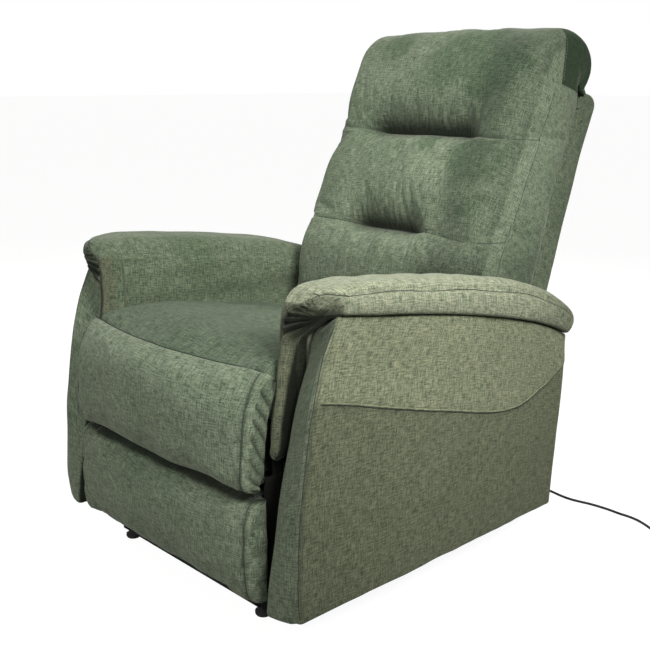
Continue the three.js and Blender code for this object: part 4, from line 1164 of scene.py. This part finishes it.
# The nose's top as [y, z], the stretch of the face line round it, and where its folds meet as (x, z).
NOSE_TOP = (-440, 620)
NOSE_REACH = (730, 940)
NOSE_PIVOT = (388, 598)
# The nose's darker cloth, painted shade on its front under the top, lies in front of this y and under this z.
NOSE_SHADE_BOUNDS = (-430, 608)
# The welt's share of the way down the arm's side.
WELT_AT = 0.28
# Folds fanning out from the pivot: angle and width in degrees, depth in mm.
NOSE_FOLDS = [(30, 2.4, 4.0), (20, 2.6, 5.0), (10, 2.2, 7.5), (2, 2.0, 4.0), (-7, 2.6, 8.0),
              (-15, 2.4, 11.0), (-24, 2.2, 9.0)]


def arm_ring(row):
    """One closed section of the arm's cover and a mark for each of its points."""
    top, under = row[0:2], row[2:4]
    edge, r_out, r_in, welt, hang = row[4:9]
    depth = np.linalg.norm(under - top)
    down = (under - top) / depth
    r_out, r_in = min(r_out, 0.7 * depth), min(r_in, 0.8 * depth)
    start = ARM_IN if row[1] > 380 else ARM_IN + (380 - row[1]) ** 2 / 130
    foot = np.array([0.0, -1.0])
    leg = max(2.0, under[1] - LEG_FOOT) if hang > 0.5 and top[1] > 500 and top[0] > -432 else 2.0
    ring = []
    for q in np.linspace(1, WELT_AT + 0.04, 9):
        bulge = 3.5 * math.sin(math.pi * (1 - q) / (1 - WELT_AT)) * welt
        ring.append((edge - 3 * (q > 0.97) + bulge, top + down * depth * q, "band"))
    ring.append((edge - 2.5 * welt, top + down * depth * WELT_AT, "welt"))
    for a in np.linspace(0.12, 1, 8) * np.pi / 2:
        drop = (r_out - r_out * math.sin(a)) * min(1.0, (WELT_AT - 0.02) * depth / r_out)
        ring.append((edge - r_out + r_out * math.cos(a), top + down * drop, "top"))
    ring += [(x, top, "top") for x in np.linspace(edge - r_out, start + r_in, 32)[1:-1]]
    for a in np.linspace(0, 1, 10) * np.pi / 2:
        ring.append((start + r_in - r_in * math.sin(a), top + down * (r_in - r_in * math.cos(a)), "top"))
    ring += [(start, top + down * depth * q, "inner") for q in np.linspace(r_in / depth, 1, 6)[1:]]
    ring += [(start, under + foot * leg * q, "inner") for q in np.linspace(0, 1, 34)[1:]]
    hidden = max(start + 3, min(LEG_OUT, edge - 2))
    ring += [(hidden, under + foot * leg * q, "hidden") for q in np.linspace(1, 0, 8)]
    ring += [(x, under, "hidden") for x in np.linspace(hidden, edge - 6, 8)[1:-1]]
    return [(x, *place) for x, place, _ in ring], [mark for _, _, mark in ring]


def arm_cover(side, label):
    line, reach = smooth_line(ARM_ROWS, lambda s: 2.6 if NOSE_REACH[0] < s < NOSE_REACH[1] else 5)
    nose = reach[int(np.argmin(np.abs(line[:, :2] - NOSE_TOP).sum(axis=1)))]
    sections = [arm_ring(row) for row in line]
    points = np.array([ring for ring, _ in sections])
    marks = np.array([names for _, names in sections])
    x, y, z = (points[:, :, axis].copy() for axis in range(3))
    s = np.broadcast_to(reach[:, None], x.shape)
    down = line[:, 2:4] - line[:, 0:2]
    down /= np.linalg.norm(down, axis=1)[:, None]
    order = np.broadcast_to(np.arange(x.shape[1])[None, :], x.shape)

    # The welt runs along the side, turns in over the nose and goes down the tongue.
    welt_at = np.interp(reach, nose + np.array([-900, -44, -26, -8, 6, 26, 48, 400]),
                        [9, 9, 13, 19, 28, 45, 49, 50])
    beyond = welt_at[:, None] - order
    run = np.clip((x - ARM_IN) / 110, 0, 1)
    along = smoothstep(s, 60, 160) * (1 - smoothstep(s, nose - 90, nose - 20))
    lift = (9 * (run - 0.45) + 2.5 * np.sin(run * np.pi)) * along + 1.2 * ripple(x, s, 120, 91)
    seam_dip = bell(beyond, 0, 1.3) * smoothstep(s, nose - 44, nose - 26)
    lift = lift - 2.6 * seam_dip
    across, up = NOSE_PIVOT[0] - x, z - NOSE_PIVOT[1]
    ray, far = np.degrees(np.arctan2(up, across)), np.hypot(across, up)
    gathered = smoothstep(beyond, 0.5, 5) * smoothstep(far, 8, 46) * smoothstep(s, nose - 40, nose - 8)
    nose_side = smoothstep(beyond, 0.5, 4) * smoothstep(s, nose - 42, nose - 14) * smoothstep(z, 545, 580)
    # Painted shade: in the dip along the welt seam on top, on the nose under the welt, at the arm's rear end
    # by the back, on the tongue behind the wing, and in the nose's folds.
    painted_shade = np.where(marks == "top", 0.8 * seam_dip, 0) + nose_side * (0.55 + 0.45 * smoothstep(-ray, 2, 16))
    painted_shade = painted_shade + 0.36 * (1 - smoothstep(s, 60, 240))
    tongue_side = smoothstep(s, nose, nose + 20) * (1 - smoothstep(z, 560, 590))
    behind_wing = smoothstep(y - height_table(INNER_EDGE)(z), -3, 5)
    painted_shade = painted_shade + tongue_side * behind_wing * smoothstep(line[:, 4][:, None] - x, 2.5, 0.2)
    for angle, width, deep in NOSE_FOLDS:
        fold = gathered * bell(ray, angle, width)
        lift = lift - deep * fold + 0.35 * deep * gathered * bell(ray, angle + 4, 3)
        painted_shade = painted_shade + 0.1 * deep * fold * smoothstep(z, 530, 575)
    lift = np.where(marks == "top", lift, 0)
    points[:, :, 1] -= down[:, None, 0] * lift
    points[:, :, 2] -= down[:, None, 1] * lift
    inner = marks == "inner"
    hang_depth = np.clip((line[:, 1][:, None] - z) / 150, 0, 1.3)
    bulge = 9 * np.sin(np.clip(hang_depth, 0, 1) * np.pi * 0.9) - 3.5 * bell(z, 590, 14)
    bulge = bulge - 2 * bell(z, 545, 18) + 1.6 * ripple(y, z, 120, 97)
    points[:, :, 0] -= np.where(inner, bulge * smoothstep(z, 480, 520) * (s < nose - 6), 0)
    points[:, :, 2] += np.where(marks == "welt", 1.5 * np.sin(s / 31) * along, 0)
    points[:, :, 0] *= side
    # The right arm takes the darker copy, as painted shade.
    cloth = FABRIC_ARM if side > 0 else FABRIC_ARM_SHADED
    piece = add_cover(f"arm_cover_{label}", points, painted_shade, [cloth, FABRIC_NOSE_SHADED], "chair")
    # The nose's front under its top takes the darker cloth, as painted shade.
    other_cloth(piece, lambda x, y, z: y < NOSE_SHADE_BOUNDS[0] and z < NOSE_SHADE_BOUNDS[1])
    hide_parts(f"arm_pad_{label}", f"inner_arm_{label}")
    low = np.floor(welt_at).astype(int)
    share = (welt_at - low)[:, None]
    rows = np.arange(len(low))
    seam = points[rows, low] * (1 - share) + points[rows, low + 1] * share
    add_tube(f"arm_welt_{label}", seam[12:-8], 1.1, "chair")
    notch = points[int(np.argmin(np.abs(reach - (nose - 11)))), 18:27]
    add_tube(f"arm_notch_{label}", notch, 1.0, "chair")


# Dark sheets in the slots beside the seat, painted shade in those gaps: name, middle, half width, and rows of
# front y, rear y, z.
LININGS = [
    ("front_lining", 119, 119, [(-448, -444, 330), (-448, -444, 280), (-448, -444, 228)]),
    ("arm_lining_low", 294.5, 20, [(-442, -438, 318), (-444, -440, 200), (-446, -442, 72)]),
    ("arm_lining_high", 257, 17.5, [(-445, -441, 468), (-445, -441, 380), (-445, -441, 266)]),
    ("arm_lining_side_low", 277.4, 1.4,
     [(-484, -444, 300), (-486, -444, 279), (-488, -444, 160), (-488, -444, 72)]),
    ("arm_lining_side_high", 276.4, 1.4, [(-466, -444, 332), (-466, -444, 300), (-466, -444, 280)]),
]


def arm_lining(side, label):
    for word, middle, half, rows in LININGS:
        strip = Pad([[front, z, rear, z] for front, rear, z in rows], half, spacing=12, corner=1,
                    across=12, side=8)
        strip.shift(dx=side * middle)
        strip.build(f"{word}_{label}", SHADE_LINING, "chair")


def rear_skirt():
    low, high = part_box("rear_skirt")
    y0, y1, z0, z1 = (v / MM for v in (low.y, high.y, low.z, high.z))
    rows = [
        [y0 + 4, z1, y0, z1 - 2], [y1 - 3, z1 - 1, y0, z1 - 5], [y1, z1 - 7, y0, z1 - 8],
        [y1 + 3, (z0 + z1) / 2, y0, (z0 + z1) / 2], [y1, z0 + 7, y0, z0 + 8], [y1 - 3, z0 + 1, y0, z0 + 5],
        [y0 + 4, z0, y0, z0 + 2],
    ]
    pad = Pad(rows, high.x / MM, spacing=6, corner=4, across=70, side=4)
    pad.swell(1.6 * ripple(pad.x, pad.s, 120, 111))
    piece = pad.build("rear_skirt_cover", FABRIC_SIDE, "chair")
    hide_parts("rear_skirt")


for sign, word in SIDES:
    wing_cover(sign, word)
    arm_cover(sign, word)
    arm_lining(sign, word)
rear_skirt()


# ---------------------------------------------------------------- carried-over frame parts

FINISH = {
    "black_steel": STEEL, "zinc_steel": ZINC, "wood": WOOD, "black_plastic": PLASTIC,
    "black_rubber": RUBBER, "webbing": WEBBING, "upholstery": FABRIC_SIDE,
}
EDGE_ANGLE = math.radians(35)
EDGE_WIDTH = 0.6 * MM


def finish_frame_parts():
    """Gives every CAD node that still shows its procedural material and softened edges."""
    slots = {part["node"]: part["material_slot"] for part in frame["record"]["subparts"]}
    for name, node in frame["nodes"].items():
        if node.hide_render:
            continue
        node.data.materials.clear()
        node.data.materials.append(FINISH[slots[name]])
        bevel = node.modifiers.new("edges", "BEVEL")
        bevel.width = EDGE_WIDTH
        bevel.segments = 2
        bevel.limit_method = "ANGLE"
        bevel.angle_limit = EDGE_ANGLE
        node.data.polygons.foreach_set("use_smooth", np.ones(len(node.data.polygons), bool))
        node.data.set_sharp_from_angle(angle=EDGE_ANGLE)


finish_frame_parts()
